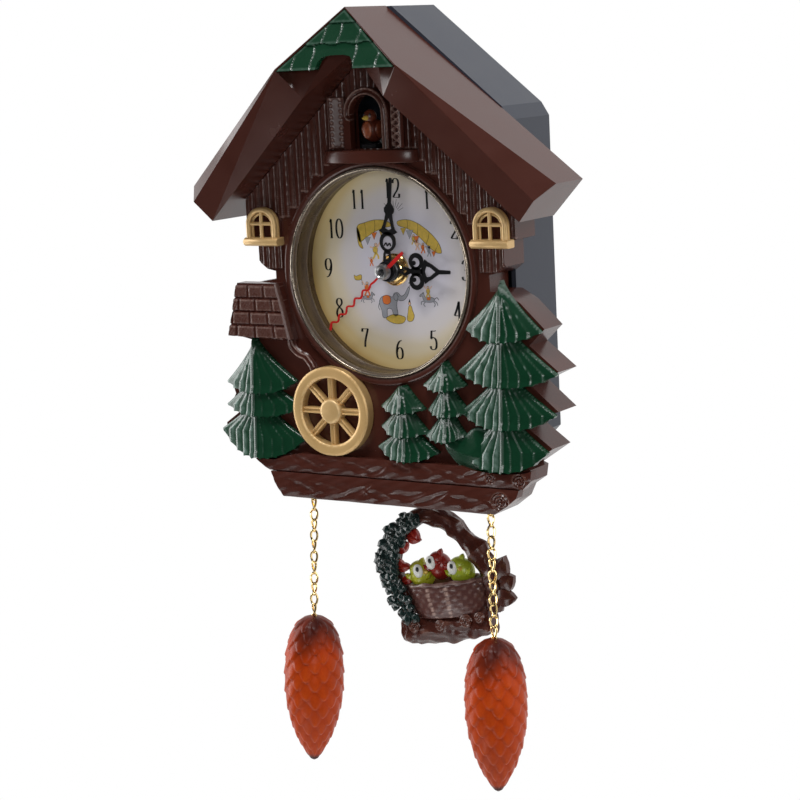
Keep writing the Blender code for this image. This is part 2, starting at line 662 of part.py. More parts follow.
# ---------------------------------------------------------------- front relief
def fir(name, tiers, spine, finish="green", y_back=None):
    """A fir from the silhouettes of its boughs, with the spine standing furthest out."""
    back = RELIEF_BACK if y_back is None else y_back
    bm = bmesh.new()
    ring = [bm.verts.new((x, back - 2.6, z)) for x, z in tiers]
    rear = [bm.verts.new((x, back, z)) for x, z in tiers]
    count = len(tiers)
    crest = [bm.verts.new((x, back - RELIEF - 1.5, z)) for x, z in spine]
    for k in range(count):
        bm.faces.new((ring[k], ring[(k + 1) % count], rear[(k + 1) % count], rear[k]))
    bm.faces.new(rear)

    def nearest(index):
        z = ring[index % count].co.z
        return min(crest, key=lambda v: abs(v.co.z - z))

    for k in range(count):
        a, b = nearest(k), nearest(k + 1)
        bm.faces.new((ring[k], ring[(k + 1) % count], a))
        if a is not b:
            order = sorted((crest.index(a), crest.index(b)))
            chain = crest[order[0]:order[1] + 1]
            if crest.index(a) > crest.index(b):
                chain = chain[::-1]
            for first, second in zip(chain, chain[1:]):
                bm.faces.new((first, ring[(k + 1) % count], second))
    bmesh.ops.holes_fill(bm, edges=[e for e in bm.edges if e.is_boundary])
    return piece_from(name, bm, finish)


def trim_to_dial(piece):
    """Keeps a relief piece clear of the raised collar round the dial."""
    return cut(piece, drum(COLLAR_R + GAP, RELIEF_FRONT - 30, RELIEF_BACK + 5))


def firs():
    left = [(-76, -33), (-82, -45), (-95, -57), (-90, -60), (-96, -69), (-91, -73),
            (-100, -80), (-97, -85), (-91, -88), (-82, -95), (-67, -95.5), (-53, -91),
            (-48, -84), (-55, -76), (-48, -67), (-57, -60), (-51, -55.5), (-64, -43)]
    small = [(12, -51), (5, -58), (-1, -65), (3, -67), (-1, -75), (2, -77), (-4, -85), (3, -90),
             (15, -92), (28, -90), (31, -86), (25, -78), (31, -75), (24, -66), (29, -63),
             (19, -57)]
    slim = [(37, -40), (30, -47), (24, -53), (28, -56), (26, -65), (30, -68), (24, -78),
            (33, -81), (41, -81), (46, -77), (42, -67), (49, -66), (44, -55), (48, -53),
            (42, -46)]
    big = [(70, -2), (61, -12), (49, -25), (56, -29), (44, -46), (53, -51), (44, -66), (52, -72),
           (43, -86), (52, -93), (68, -94), (84, -92), (91, -83), (83, -74), (96, -65),
           (84, -56), (97.5, -46), (82, -34), (90, -26), (78, -13)]
    made = [
        fir("fir_left", left[::-1], [(-76, -40), (-77, -58), (-77, -75), (-76, -90)]),
        fir("fir_small", small, [(13, -56), (14, -68), (14, -79), (14, -88)]),
        fir("fir_slim", slim, [(37, -45), (37, -57), (37, -68), (37, -78)]),
        fir("fir_right", big, [(69, -8), (68, -28), (67, -50), (67, -70), (67, -90)]),
    ]
    made[2] = cut(made[2], prism("room", inset(small, -GAP), RELIEF_FRONT - 9, RELIEF_BACK + 5))
    made[2] = cut(made[2], prism("room", inset(big, -GAP), RELIEF_FRONT - 9, RELIEF_BACK + 5))
    wheel_room = drum(WHEEL_R + GAP, RELIEF_FRONT - 30, RELIEF_BACK + 5, WHEEL_X, WHEEL_Z)
    made[0] = cut(made[0], wheel_room)
    return [trim_to_dial(tree) for tree in made]


def window(name, side):
    """An arched casement with a cross of bars, over a sill."""
    x = WINDOW_X * side
    arch = [(x + WINDOW_HALF * cos(pi * k / 8), 24 + 8.5 * sin(pi * k / 8)) for k in range(9)]
    outline = [(x - WINDOW_HALF, 17.3), (x + WINDOW_HALF, 17.3)] + arch
    frame = prism(name, outline, CASE_FRONT - 5.5, RELIEF_BACK, "gold_paint")
    panes = []
    for left, right in ((-6.6, -0.9), (0.9, 6.6)):
        for low, high in ((18.6, 23.2), (25.0, 28.4)):
            panes.append(box("pane", (x + left, x + right), (CASE_FRONT - 8, RELIEF_BACK - 2.0),
                             (low, high)))
    frame = joined(cut(frame, *panes),
                   box("sill", (x - 10.3, x + 10.3), (CASE_FRONT - 7.2, RELIEF_BACK), (13, 17.4)))
    return frame


def water_wheel():
    rim = ring_part("water_wheel", WHEEL_R - 5.4, WHEEL_R, CASE_FRONT - 6, RELIEF_BACK,
                    "gold_paint", 40, WHEEL_X, WHEEL_Z)
    hub = drum(6.2, CASE_FRONT - 6.5, RELIEF_BACK, WHEEL_X, WHEEL_Z, 20)
    spokes = []
    for k in range(4):
        turn = pi * k / 4
        bar = box("spoke", (4 - WHEEL_R, WHEEL_R - 4), (CASE_FRONT - 5, RELIEF_BACK), (-1.7, 1.7))
        bar.data.transform(Matrix.Translation((WHEEL_X, 0, WHEEL_Z))
                           @ Matrix.Rotation(turn, 4, "Y"))
        spokes.append(bar)
    wheel = joined(rim, hub, *spokes)
    floor = box("floor", (WHEEL_X - 30, WHEEL_X + 30), (CASE_FRONT - 20, 0), (-110, -91.7))
    return trim_to_dial(cut(wheel, floor))


def mill():
    outline = [(-88.3, -32.5), (-50.3, -34), (-57, -5.5), (-81.3, -5.5)]
    house = prism("mill_roof", outline, CASE_FRONT - 8.5, RELIEF_BACK, "brown")
    path = [(-52.5, -35), (-48.5, -40), (-43, -43), (-39.5, -47)]
    chute = swept("chute", [(x, CASE_FRONT - 3.2, z) for x, z in path], [2.2] * 4, "brown")
    return trim_to_dial(joined(house, chute))


def logs():
    joint, left, right = LOG_JOINT_Z, LOG_LEFT, LOG_RIGHT
    upper = [(left - 2, joint + 5.8), (left + 6, joint + 0.2), (right - 4, joint + 0.2),
             (right + 1, joint + 5), (right + 1, joint + 9.5), (right - 2.5, joint + 8.4),
             (68, joint + 7), (52, joint + 7.8), (45, joint + 9.6), (-50, joint + 9.9),
             (-60, joint + 8), (-66, joint + 5.9)]
    upper_log = prism("upper_log", upper, CASE_FRONT - 4.5, RELIEF_BACK, "bark")
    lower = [(left + 7, joint - 0.2), (-FOOT_HALF, FOOT_Z), (FOOT_HALF, FOOT_Z),
             (right - 12, joint - 8), (right - 7, joint - 4), (right - 6, joint - 0.2)]
    return upper_log, prism("lower_log", lower, CASE_FRONT - 5.0, RELIEF_BACK, "bark")


def balcony_and_doors():
    arc = [(BALCONY_HALF * sin(radians(a)), CASE_FRONT - 1.5 - 9 * cos(radians(a)))
           for a in range(-90, 91, 18)]
    outline = [(BALCONY_HALF, RELIEF_BACK), (-BALCONY_HALF, RELIEF_BACK)] + arc
    ledge = prism("balcony", outline, 53.6, DOORWAY_SILL_Z - 0.4, axis="Z")
    ledge = trim_to_dial(ledge)
    doors = []
    leaf_width = 8.8
    hinge = DOORWAY_HALF + 3.6 + GAP + 1.0
    leaf_top = SOFFIT_APEX_Z - SOFFIT_SLOPE * (hinge + leaf_width) - GAP
    for name, side in (("door_left", -1), ("door_right", 1)):
        leaf = box(name, (0, leaf_width), (-1.6, 0), (DOORWAY_SILL_Z + GAP, leaf_top))
        turn = Matrix.Rotation(radians(-28 if side > 0 else 180 + 28), 4, "Z")
        leaf.data.transform(Matrix.Translation((hinge * side, CASE_FRONT - 1.4, 0)) @ turn)
        doors.append(leaf)
    return [ledge] + doors


def cuckoo():
    """The bird and the carriage that carries it out through the doorway."""
    y = CASE_FRONT + 1.5
    body = ball("cuckoo_bird", (0, y, 69.2), (4.6, 6.2, 5.8), "bird")
    head = ball("head", (0, y - 2.5, 76.0), (3.4, 3.6, 3.6), "bird")
    beak = turned("beak", [(0, 0), (1.2, 0), (0, -4.5)], "bird", (0, y - 5.4, 75.8), "Y", 8)
    tail = box("tail", (-2.2, 2.2), (y + 4, y + 12), (68.5, 70.5))
    bird = joined(body, head, beak, tail)
    sledge = box("bird_carriage", (-4, 4), (y - 5, y + 26), (61.0, 62.6), "black")
    post = box("post", (-1.6, 1.6), (y - 1.5, y + 1.5), (62.0, 63.2 - GAP))
    bed = box("carriage_rail", (-7, 7), (CASE_FRONT + SKIN + GAP, HOUSING_FRONT + 22),
              (57.6, 60.6), "black")
    return bird, joined(sledge, post), bed


# ---------------------------------------------------------------- pendulum
def pendulum():
    """Lever, rod, arch, nest, chicks and leaves, drawn hanging plumb under the pivot."""
    top, y = PENDULUM_PIVOT_Z, PENDULUM_Y
    thick = 5.0

    def below(points):
        return [(x, top + z) for x, z in points]

    lever = box("pendulum_rod", (-2.2, 2.2), (y - 1.4, y + 1.4), (top - 36, top + 3.4), "steel")
    lever = cut(lever, drum(1.2, y - 3, y + 3, 0, top, 20))
    route = [(-25, -85.6), (-27, -78), (-30, -66), (-28, -52), (-20, -41), (-8, -35), (5, -36.5),
             (16, -45), (25, -57), (30.5, -68), (30, -78), (27.5, -85.6)]
    arch = swept("branch_arch", [(x, y, z) for x, z in below(route)], [4.0] * len(route), "bark")
    leaf = prism("leaf", below([(31, -66), (36, -62), (41.5, -57.5), (42.5, -68), (38, -78),
                                (32, -84), (30, -76)]), y - 2.5, y + 2.5, "bark")
    basket = turned("nest_basket", [(0, -86), (14, -86), (20, -79), (23.5, -70), (22, -69),
                                    (19.5, -70), (14, -75), (0, -77)], "bark", axis="Z", steps=20)
    basket.data.transform(Matrix.Translation((2, y, top)) @ Matrix.Diagonal((1, 0.36, 1, 1)))
    log = prism("perch_log", below([(-28, -88.0), (-29, -98), (-22, -100), (17, -99.5), (25, -96),
                                    (27, -88.0)]), y - thick, y + thick, "bark")
    chicks = []
    for name, x, z, radius, finish in (("chick_left", -11.4, -63.6, 6.2, "yellow"),
                                       ("chick_middle", 0.4, -60.0, 5.0, "red"),
                                       ("chick_right", 12.2, -63.6, 6.2, "yellow")):
        chicks.append(ball(name, (x, y, top + z), (radius, 5.4, 6.8), finish, 12, 6))
    wreath = prism("leaf_wreath", below([(-9, -31.5), (-5, -37.5), (-16, -46), (-23, -60),
                                         (-22, -74), (-19, -85), (-29, -83), (-32, -72),
                                         (-32, -54), (-21, -40)]),
                   y - 4.3 - thick, y - 4.3, "leaf")
    return [lever, joined(arch, leaf), basket, log] + chicks + [wreath]


def settle_pendulum(parts):
    """Makes the nest's pieces sit against each other with a clearance, then leans them."""
    arch = parts[1]
    z, y = PENDULUM_PIVOT_Z, PENDULUM_Y
    cut(arch, box("room", (-2.5, 2.5), (y - 1.7, y + 1.7), (z - 36.3, z + 9)))
    spun(parts, PENDULUM_LEAN, (0, y, z))


# ---------------------------------------------------------------- chains and cones
def chain_and_cone(side, lean):
    """Eye on the lower log, chain as one slim bar, and the pine cone on its lower end."""
    label = "left" if side < 0 else "right"
    x, y, z = CHAIN_X * side, CHAIN_Y, CHAIN_TOP_Z
    eye = [(0, 0), (2.2, 0), (2.2, -0.8), (0.8, -0.8), (0.8, -2.2), (0, -2.2)]
    turned("chain_hook_" + label, eye, "brass", (x, y, FOOT_Z - GAP), "Z", 12)
    low = z - CHAIN_LENGTH
    chain = rod("chain_" + label, (x, y, z - GAP), (x, y, low + 2 * GAP), CHAIN_R, "brass", 8)
    profile = [(0, 0), (1.6, 0), (5.0, -1.6), (8.4, -4.4), (10.8, -9), (13.2, -15.5), (14.6, -23),
               (CONE_R, -32), (14.4, -41), (13.0, -49), (10.6, -58), (7.4, -66), (4.2, -73),
               (1.6, -CONE_LENGTH), (0, -CONE_LENGTH)]
    cone = turned("cone_" + label, profile, "cone", (x, y, low), "Z", 24)
    pivot = (x, y, z)
    spun([chain, cone], -lean, pivot)
    foot = Vector((x, y, z)) + Vector((-sin(radians(lean)), 0, -cos(radians(lean)))) * CHAIN_LENGTH
    return chain, cone, pivot, tuple(foot)


def screws():
    """Four long screws that hold the rear housing to the front case, seen from behind."""
    made = []
    for name, x, z in (("screw_upper_left", -50, 62), ("screw_upper_right", 50, 62),
                       ("screw_lower_left", -58, -76), ("screw_lower_right", 58, -76)):
        profile = [(0, -0.5), (3.0, -0.5), (3.0, -1.8), (1.3, -2.4), (1.3, -14), (0, -14)]
        made.append(turned(name, profile, "steel", (x, 0, z), steps=12))
    return made


# ---------------------------------------------------------------- assembly
def build():
    for thing in list(bpy.data.objects):
        bpy.data.objects.remove(thing)

    front_case()
    roof()
    gable_tiles()
    dial_bezel()
    ring_part("dial_plate", HOUR_PIPE_R + GAP, BEZEL_R, DIAL_FACE, DIAL_FACE + DIAL_PLATE, "paper")
    cuff_nut()
    movement()
    hour_hand, minute_hand, second_hand = hands()
    hour_wheel, cannon, pin, idler, knob = motion_work()

    housing = rear_housing()
    battery_tray()
    door = battery_door()
    switch = electronics()[2]
    screw_set = screws()
    for screw in screw_set:
        centre = screw.data.vertices[0].co
        cut(housing, drum(3.3, -2.6, 3, centre.x, centre.z, 16),
            drum(1.6, -9, 3, centre.x, centre.z, 16))

    firs()
    for name, side in (("window_left", -1), ("window_right", 1)):
        window(name, side)
    water_wheel()
    mill()
    logs()
    balcony_and_doors()
    bird, carriage = cuckoo()[:2]

    swinging = pendulum()
    settle_pendulum(swinging)

    hang([hour_hand, hour_wheel], (0, DIAL_FACE, 0), "hour_axis")
    hang([minute_hand, cannon], (0, DIAL_FACE, 0), "minute_axis")
    hang([second_hand, pin], (0, DIAL_FACE, 0), "second_axis")
    hang([idler, knob], (0, DIAL_FACE, -ARBOR_DISTANCE), "setting_axis")
    hang(swinging, (0, PENDULUM_Y, PENDULUM_PIVOT_Z), "pendulum_axis")
    hang([bird, carriage], (0, CASE_FRONT, DOORWAY_SILL_Z), "bird_axis")
    hang([door], (DOOR_X[0], -1.0, DOOR_Z[1]), "battery_door_axis")
    hang([switch], (27.5, -1.0, -49), "switch_axis")
    for side, lean in ((-1, LEFT_LEAN), (1, RIGHT_LEAN)):
        chain, cone, pivot, foot = chain_and_cone(side, lean)
        hang([chain], pivot, chain.name + "_axis")
        hang([cone], foot, cone.name + "_axis")

    for thing in bpy.data.objects:
        thing.location = thing.location * 0.001
        if thing.type == "MESH":
            thing.data.transform(Matrix.Scale(0.001, 4))
            thing.data.shade_smooth()
            thing.data.set_sharp_from_angle(angle=radians(32))


build()
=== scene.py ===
# %% [markdown]
# # A forest chalet wall clock
# The clock's parts are already modelled as plain solids, one for each real piece. This
# lesson dresses them: it adds the carved relief, the printed dial, the link chains and the
# finishes. Lengths below are in millimetres unless a line says otherwise.

# %%
import json
import random
from math import cos, pi, radians, sin, sqrt

import bmesh
import bpy
import numpy as np
from mathutils import Matrix, Vector
from mathutils.geometry import delaunay_2d_cdt


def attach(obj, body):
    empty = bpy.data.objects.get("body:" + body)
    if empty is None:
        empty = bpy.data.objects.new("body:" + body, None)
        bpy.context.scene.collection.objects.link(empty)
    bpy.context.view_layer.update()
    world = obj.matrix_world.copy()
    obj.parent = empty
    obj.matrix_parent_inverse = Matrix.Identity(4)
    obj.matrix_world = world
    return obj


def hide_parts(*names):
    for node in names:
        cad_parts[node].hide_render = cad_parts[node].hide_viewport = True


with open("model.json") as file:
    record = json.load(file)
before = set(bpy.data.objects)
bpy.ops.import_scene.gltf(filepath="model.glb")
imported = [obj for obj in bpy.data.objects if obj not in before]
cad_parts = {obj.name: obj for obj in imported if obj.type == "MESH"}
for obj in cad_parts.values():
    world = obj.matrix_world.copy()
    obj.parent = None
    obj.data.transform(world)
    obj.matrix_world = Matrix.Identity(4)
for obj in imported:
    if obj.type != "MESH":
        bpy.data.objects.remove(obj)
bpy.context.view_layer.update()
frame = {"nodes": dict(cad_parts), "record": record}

MM = 0.001

# %% [markdown]
# ## The camera
# It looks from the clock's right and a little above, through a long lens, with a slight tilt.

# %%
AZIMUTH, ELEVATION, ROLL = radians(32.793), radians(9.715), radians(-2.907)
LENS = 94.68
ORIGIN_IN_VIEW = Vector((-2.149, 64.53, -1038.92))   # dial centre seen from the camera
DIAL_FACE = -42.8
CASE_FRONT = -57.8
CASE_BACK = -39.8

back = Vector((sin(AZIMUTH) * cos(ELEVATION), -cos(AZIMUTH) * cos(ELEVATION), sin(ELEVATION)))
level = Vector((cos(AZIMUTH), sin(AZIMUTH), 0))
upright = back.cross(level)
x_axis = level * cos(ROLL) + upright * sin(ROLL)
y_axis = upright * cos(ROLL) - level * sin(ROLL)
place = -(x_axis * ORIGIN_IN_VIEW.x + y_axis * ORIGIN_IN_VIEW.y + back * ORIGIN_IN_VIEW.z)
place.y += DIAL_FACE

camera = bpy.data.objects.new("camera", bpy.data.cameras.new("camera"))
bpy.context.scene.collection.objects.link(camera)
camera.data.lens = LENS
camera.data.sensor_width = 36.0
camera.data.clip_start = 0.05
camera.data.clip_end = 50.0
turn = Matrix((x_axis, y_axis, back)).transposed().to_4x4()
camera.matrix_world = Matrix.Translation(place * MM) @ turn
bpy.context.scene.camera = camera
print("camera at", [round(v, 3) for v in camera.location])

# %% [markdown]
# ## Light and floor
# Soft boxes light the clock from above, from the front, from below and from both sides.
# The sky is white behind the clock and nearly dark in front of it, so that the browns stay
# deep where they face forward and shine only at their upper and left faces.

# %%
scene = bpy.context.scene
scene.view_settings.view_transform = "Standard"


def softbox(name, where, size, power):
    lamp = bpy.data.lights.new(name, "AREA")
    lamp.shape = "RECTANGLE"
    lamp.size, lamp.size_y = size
    lamp.energy = power
    holder = bpy.data.objects.new(name, lamp)
    scene.collection.objects.link(holder)
    holder.location = where
    holder.rotation_euler = (-Vector(where)).to_track_quat("-Z", "Y").to_euler()
    return holder


floor = bpy.data.objects.new("floor", bpy.data.meshes.new("floor"))
FLOOR_Z, FLOOR_R = -0.75, 0.8
floor.data.from_pydata([(FLOOR_R * cos(pi * k / 32), FLOOR_R * sin(pi * k / 32), FLOOR_Z)
                        for k in range(64)], [], [tuple(range(64))])
scene.collection.objects.link(floor)
pale = bpy.data.materials.new("pale_floor")
pale.use_nodes = True
pale.node_tree.nodes["Principled BSDF"].inputs["Base Color"].default_value = (0.85, 0.85, 0.84, 1)
pale.node_tree.nodes["Principled BSDF"].inputs["Roughness"].default_value = 0.8
floor.data.materials.append(pale)

softbox("key_light", (0.05, -0.95, 1.9), (0.8, 0.7), 30.0)
softbox("front_fill", (0.85, -1.5, 0.25), (0.5, 0.5), 6.5)
softbox("low_light", (-0.34, -0.94, -0.84), (0.45, 0.3), 2.5)
softbox("left_light", (-1.2, -0.33, 0.05), (0.6, 1.2), 11.0)
softbox("right_light", (1.5, 0.1, 0.7), (0.9, 1.2), 9.0)

world = bpy.data.worlds.new("studio")
scene.world = world
world.use_nodes = True
tree = world.node_tree
tree.nodes.clear()
direction = tree.nodes.new("ShaderNodeTexCoord")
split = tree.nodes.new("ShaderNodeSeparateXYZ")
ramp = tree.nodes.new("ShaderNodeMapRange")
sky = tree.nodes.new("ShaderNodeBackground")
plain = tree.nodes.new("ShaderNodeBackground")
rays = tree.nodes.new("ShaderNodeLightPath")
mixer = tree.nodes.new("ShaderNodeMixShader")
target = tree.nodes.new("ShaderNodeOutputWorld")
tree.links.new(direction.outputs["Generated"], split.inputs[0])
tree.links.new(split.outputs["Y"], ramp.inputs["Value"])
ramp.inputs["From Min"].default_value = -0.5
ramp.inputs["From Max"].default_value = 0.25
ramp.inputs["To Min"].default_value = 0.035
ramp.inputs["To Max"].default_value = 0.95
tree.links.new(ramp.outputs[0], sky.inputs["Strength"])
plain.inputs["Strength"].default_value = 1.0
for light in (sky, plain):
    light.inputs["Color"].default_value = (1.0, 1.0, 1.0, 1.0)
tree.links.new(rays.outputs["Is Camera Ray"], mixer.inputs[0])
tree.links.new(sky.outputs[0], mixer.inputs[1])
tree.links.new(plain.outputs[0], mixer.inputs[2])
tree.links.new(mixer.outputs[0], target.inputs[0])

# %% [markdown]
# ## Finishes
# Each finish is a plain shader with two procedural touches: a slow mottle in the colour, and
# a fine grain in the surface. Carved pieces also carry a number on every point, for wear and
# painted light: it is 1 where raised edges are rubbed pale and where painted highlights and
# painted sheen are laid, and below 0 it lays painted shade in the finish's dark colour.

# %%
FINISH = {}


def finish(slot, colour, rough, metal=0.0, wear_and_highlight_colour=None, mottle=0.15, spread=60.0, grain=600.0,
           relief=0.04, rough_span=0.06, specular=0.5, dark=None):
    """A material with a mottle `spread` per metre and a surface grain `grain` per metre."""
    material = bpy.data.materials.new(slot)
    material.use_nodes = True
    tree = material.node_tree
    shader = tree.nodes["Principled BSDF"]
    shader.inputs["Metallic"].default_value = metal
    shader.inputs["Specular IOR Level"].default_value = specular
    coords = tree.nodes.new("ShaderNodeTexCoord")

    def node(kind, **values):
        made = tree.nodes.new("ShaderNode" + kind)
        for key, value in values.items():
            made.inputs[key.replace("_", " ")].default_value = value
        return made

    def noise(scale, detail):
        made = node("TexNoise", Scale=scale, Detail=detail)
        tree.links.new(coords.outputs["Object"], made.inputs["Vector"])
        return made.outputs["Fac"]

    def ranged(value, **ends):
        made = node("MapRange", **ends)
        tree.links.new(value, made.inputs["Value"])
        return made.outputs[0]

    def times(value, factor):
        """The product with a number or with another output, held between 0 and 1."""
        made = tree.nodes.new("ShaderNodeMath")
        made.operation = "MULTIPLY"
        made.use_clamp = True
        tree.links.new(value, made.inputs[0])
        if isinstance(factor, float):
            made.inputs[1].default_value = factor
        else:
            tree.links.new(factor, made.inputs[1])
        return made.outputs[0]

    def blend(under, over, share):
        """A mix of two colours. The one underneath may be another node's output."""
        made = tree.nodes.new("ShaderNodeMix")
        made.data_type = "RGBA"
        if isinstance(under, list):
            made.inputs["A"].default_value = under + [1.0]
        else:
            tree.links.new(under, made.inputs["A"])
        made.inputs["B"].default_value = list(over) + [1.0]
        tree.links.new(share, made.inputs["Factor"])
        return made.outputs["Result"]

    slow, fine = noise(spread, 4.0), noise(grain, 3.0)
    tint = blend([c * (1 - mottle) for c in colour],
                 [min(c * (1 + mottle), 1.0) for c in colour], slow)
    # The pale colour serves both rubbed paint and painted highlights and sheen.
    if wear_and_highlight_colour:
        wear_and_light_marks = tree.nodes.new("ShaderNodeAttribute")
        wear_and_light_marks.attribute_name = "wear"
        patchy = ranged(fine, From_Min=0.30, From_Max=0.62, To_Min=0.35)
        tint = blend(tint, wear_and_highlight_colour, times(wear_and_light_marks.outputs["Fac"], patchy))
    # Values below 0 mix in the dark colour: painted shade in crevices, and darker bands.
    if dark:
        tint = blend(tint, dark, times(wear_and_light_marks.outputs["Fac"], -1.0))
    tree.links.new(tint, shader.inputs["Base Color"])
    gloss = ranged(slow, To_Min=max(rough - rough_span, 0.02), To_Max=rough + rough_span)
    tree.links.new(gloss, shader.inputs["Roughness"])
    bump = node("Bump", Strength=relief, Distance=MM)
    tree.links.new(fine, bump.inputs["Height"])
    tree.links.new(bump.outputs[0], shader.inputs["Normal"])
    FINISH[slot] = material
    return material


# The pale colours of brown and bark serve both rubbed paint and painted highlights on raised edges.
finish("brown", (0.054, 0.014, 0.009), 0.25, wear_and_highlight_colour=(0.30, 0.20, 0.17), relief=0.03, specular=0.38)
finish("bark", (0.056, 0.014, 0.009), 0.25, wear_and_highlight_colour=(0.22, 0.10, 0.07), relief=0.05, specular=0.38)
# The green's pale colour serves the firs' dry-brushed edges, their painted sheen and the tiles'
# painted highlights.
finish("green", (0.003, 0.034, 0.014), 0.23, wear_and_highlight_colour=(0.21, 0.30, 0.26), relief=0.04)
finish("leaf", (0.006, 0.016, 0.015), 0.20, wear_and_highlight_colour=(0.10, 0.16, 0.15), relief=0.08)
finish("gold_paint", (0.58, 0.37, 0.15), 0.42, metal=0.35, wear_and_highlight_colour=(0.85, 0.66, 0.38), relief=0.05)
# The bronze's pale colour is painted highlight on the dial ring, together with the gold of its
# front edge.
finish("bronze", (0.15, 0.115, 0.09), 0.26, metal=0.8, wear_and_highlight_colour=(0.42, 0.36, 0.29), relief=0.02)
finish("brass", (0.83, 0.60, 0.26), 0.16, metal=1.0, mottle=0.06, relief=0.02)
finish("steel", (0.55, 0.55, 0.56), 0.28, metal=1.0, mottle=0.08)
finish("copper", (0.72, 0.30, 0.14), 0.30, metal=1.0, grain=2500.0, relief=0.5)
finish("black", (0.006, 0.006, 0.007), 0.30, mottle=0.3)
finish("red", (0.50, 0.012, 0.012), 0.32, mottle=0.1)
finish("gear", (0.74, 0.74, 0.70), 0.45, mottle=0.04)
finish("slate", (0.032, 0.036, 0.050), 0.34, mottle=0.10, relief=0.08, grain=1500.0, specular=0.24)
finish("cell", (0.08, 0.09, 0.12), 0.30, metal=0.3)
finish("circuit", (0.012, 0.13, 0.045), 0.40, spread=300.0, mottle=0.35)
# The cone's pale colour is painted highlight on the scales; its dark colour is painted shade in the
# crevices and also colours the darker bands.
finish("cone", (0.36, 0.036, 0.003), 0.33, wear_and_highlight_colour=(0.54, 0.085, 0.008), mottle=0.28, relief=0.08,
       specular=0.14, dark=(0.030, 0.006, 0.005))
finish("bird", (0.06, 0.008, 0.005), 0.35, wear_and_highlight_colour=(0.30, 0.08, 0.03), mottle=0.3)
finish("yellow", (0.46, 0.47, 0.014), 0.28, wear_and_highlight_colour=(0.75, 0.74, 0.20), mottle=0.2)
finish("lime", (0.36, 0.44, 0.015), 0.30, wear_and_highlight_colour=(0.60, 0.66, 0.15), mottle=0.3)
finish("chick_red", (0.26, 0.012, 0.008), 0.28, wear_and_highlight_colour=(0.55, 0.09, 0.05), mottle=0.25)
finish("white", (0.80, 0.80, 0.76), 0.35, mottle=0.05)
finish("ink", (0.012, 0.011, 0.011), 0.55, mottle=0.1)
finish("ochre", (0.62, 0.43, 0.07), 0.60, wear_and_highlight_colour=(0.80, 0.66, 0.25), mottle=0.30, spread=500.0)
finish("orange", (0.70, 0.17, 0.03), 0.60, mottle=0.2, spread=500.0)
finish("grey", (0.33, 0.34, 0.38), 0.60, mottle=0.2, spread=500.0)
finish("flesh", (0.72, 0.47, 0.33), 0.60, mottle=0.2, spread=500.0)
finish("paper", (0.68, 0.62, 0.55), 0.42, mottle=0.05)
finish("weave", (0.080, 0.027, 0.022), 0.30, wear_and_highlight_colour=(0.38, 0.26, 0.22), mottle=0.2)
print(len(FINISH), "finishes")

# %% [markdown]
# ## Tools for building shapes
# A `Shape` gathers points and faces in millimetres. It knows a few ways to add them: a carved
# plate, a plate of even thickness, a turned form, a swept tube and a ball. Points can carry a
# mark of wear and painted light, and faces can carry one of several finishes.


# %%
def spread_along(loop, step, closed=True):
    """The outline with extra points, so that none of its sides is longer than step."""
    out = []
    count = len(loop)
    for k in range(count if closed else count - 1):
        a, b = Vector(loop[k]), Vector(loop[(k + 1) % count])
        parts = max(1, int((b - a).length / step))
        out += [tuple(a.lerp(b, j / parts)) for j in range(parts)]
    return out if closed else out + [tuple(loop[-1])]


def smooth_path(points, parts=6, closed=False):
    """A Catmull-Rom curve through the points, of any dimension."""
    count = len(points)
    out = []
    for k in range(count if closed else count - 1):
        if closed:
            p = [points[(k + j) % count] for j in (-1, 0, 1, 2)]
        else:
            p = [points[min(max(k + j, 0), count - 1)] for j in (-1, 0, 1, 2)]
        p0, p1, p2, p3 = (np.array(q, float) for q in p)
        for j in range(parts):
            t = j / parts
            out.append(tuple(0.5 * (2 * p1 + (p2 - p0) * t + (2 * p0 - 5 * p1 + 4 * p2 - p3) * t * t
                                    + (3 * p1 - p0 - 3 * p2 + p3) * t ** 3)))
    return out if closed else out + [tuple(points[-1])]


def within(x, z, loop):
    """True for each point inside the closed outline."""
    hit = np.zeros(len(x), bool)
    for (ax, az), (bx, bz) in zip(loop, loop[1:] + loop[:1]):
        if az == bz:
            continue
        across = (az > z) != (bz > z)
        hit ^= across & (x < (bx - ax) * (z - az) / (bz - az) + ax)
    return hit


def away_from(x, z, line, closed=True):
    """Distance of each point from the outline or line."""
    best = np.full(len(x), 1e9)
    ends = line[1:] + line[:1] if closed else line[1:]
    for (ax, az), (bx, bz) in zip(line, ends):
        dx, dz = bx - ax, bz - az
        size = dx * dx + dz * dz or 1e-9
        t = np.clip(((x - ax) * dx + (z - az) * dz) / size, 0, 1)
        best = np.minimum(best, np.hypot(x - ax - t * dx, z - az - t * dz))
    return best


def hump(distance, width):
    """1 on the line, falling smoothly to 0 at width."""
    t = np.clip(1 - np.abs(distance) / width, 0, 1)
    return t * t * (3 - 2 * t)


def circle(radius, cx=0.0, cz=0.0, steps=48, squash=1.0):
    return [(cx + radius * cos(2 * pi * k / steps), cz + radius * squash * sin(2 * pi * k / steps))
            for k in range(steps)]


def flat_mesh(loops, inner=()):
    """Triangles that fill the first loop, leave out the others and use the inner points."""
    points, sides = [], []
    for loop in loops:
        first = len(points)
        points += loop
        sides += [(first + k, first + (k + 1) % len(loop)) for k in range(len(loop))]
    points = points + list(inner)
    made = delaunay_2d_cdt([Vector(p) for p in points], sides, [], 0, 1e-4)
    spots = np.array([tuple(v) for v in made[0]])
    faces = np.array([f for f in made[2] if len(f) == 3])
    middle = spots[faces].mean(axis=1)
    keep = within(middle[:, 0], middle[:, 1], loops[0])
    for hole in loops[1:]:
        keep &= ~within(middle[:, 0], middle[:, 1], hole)
    return spots, faces[keep]


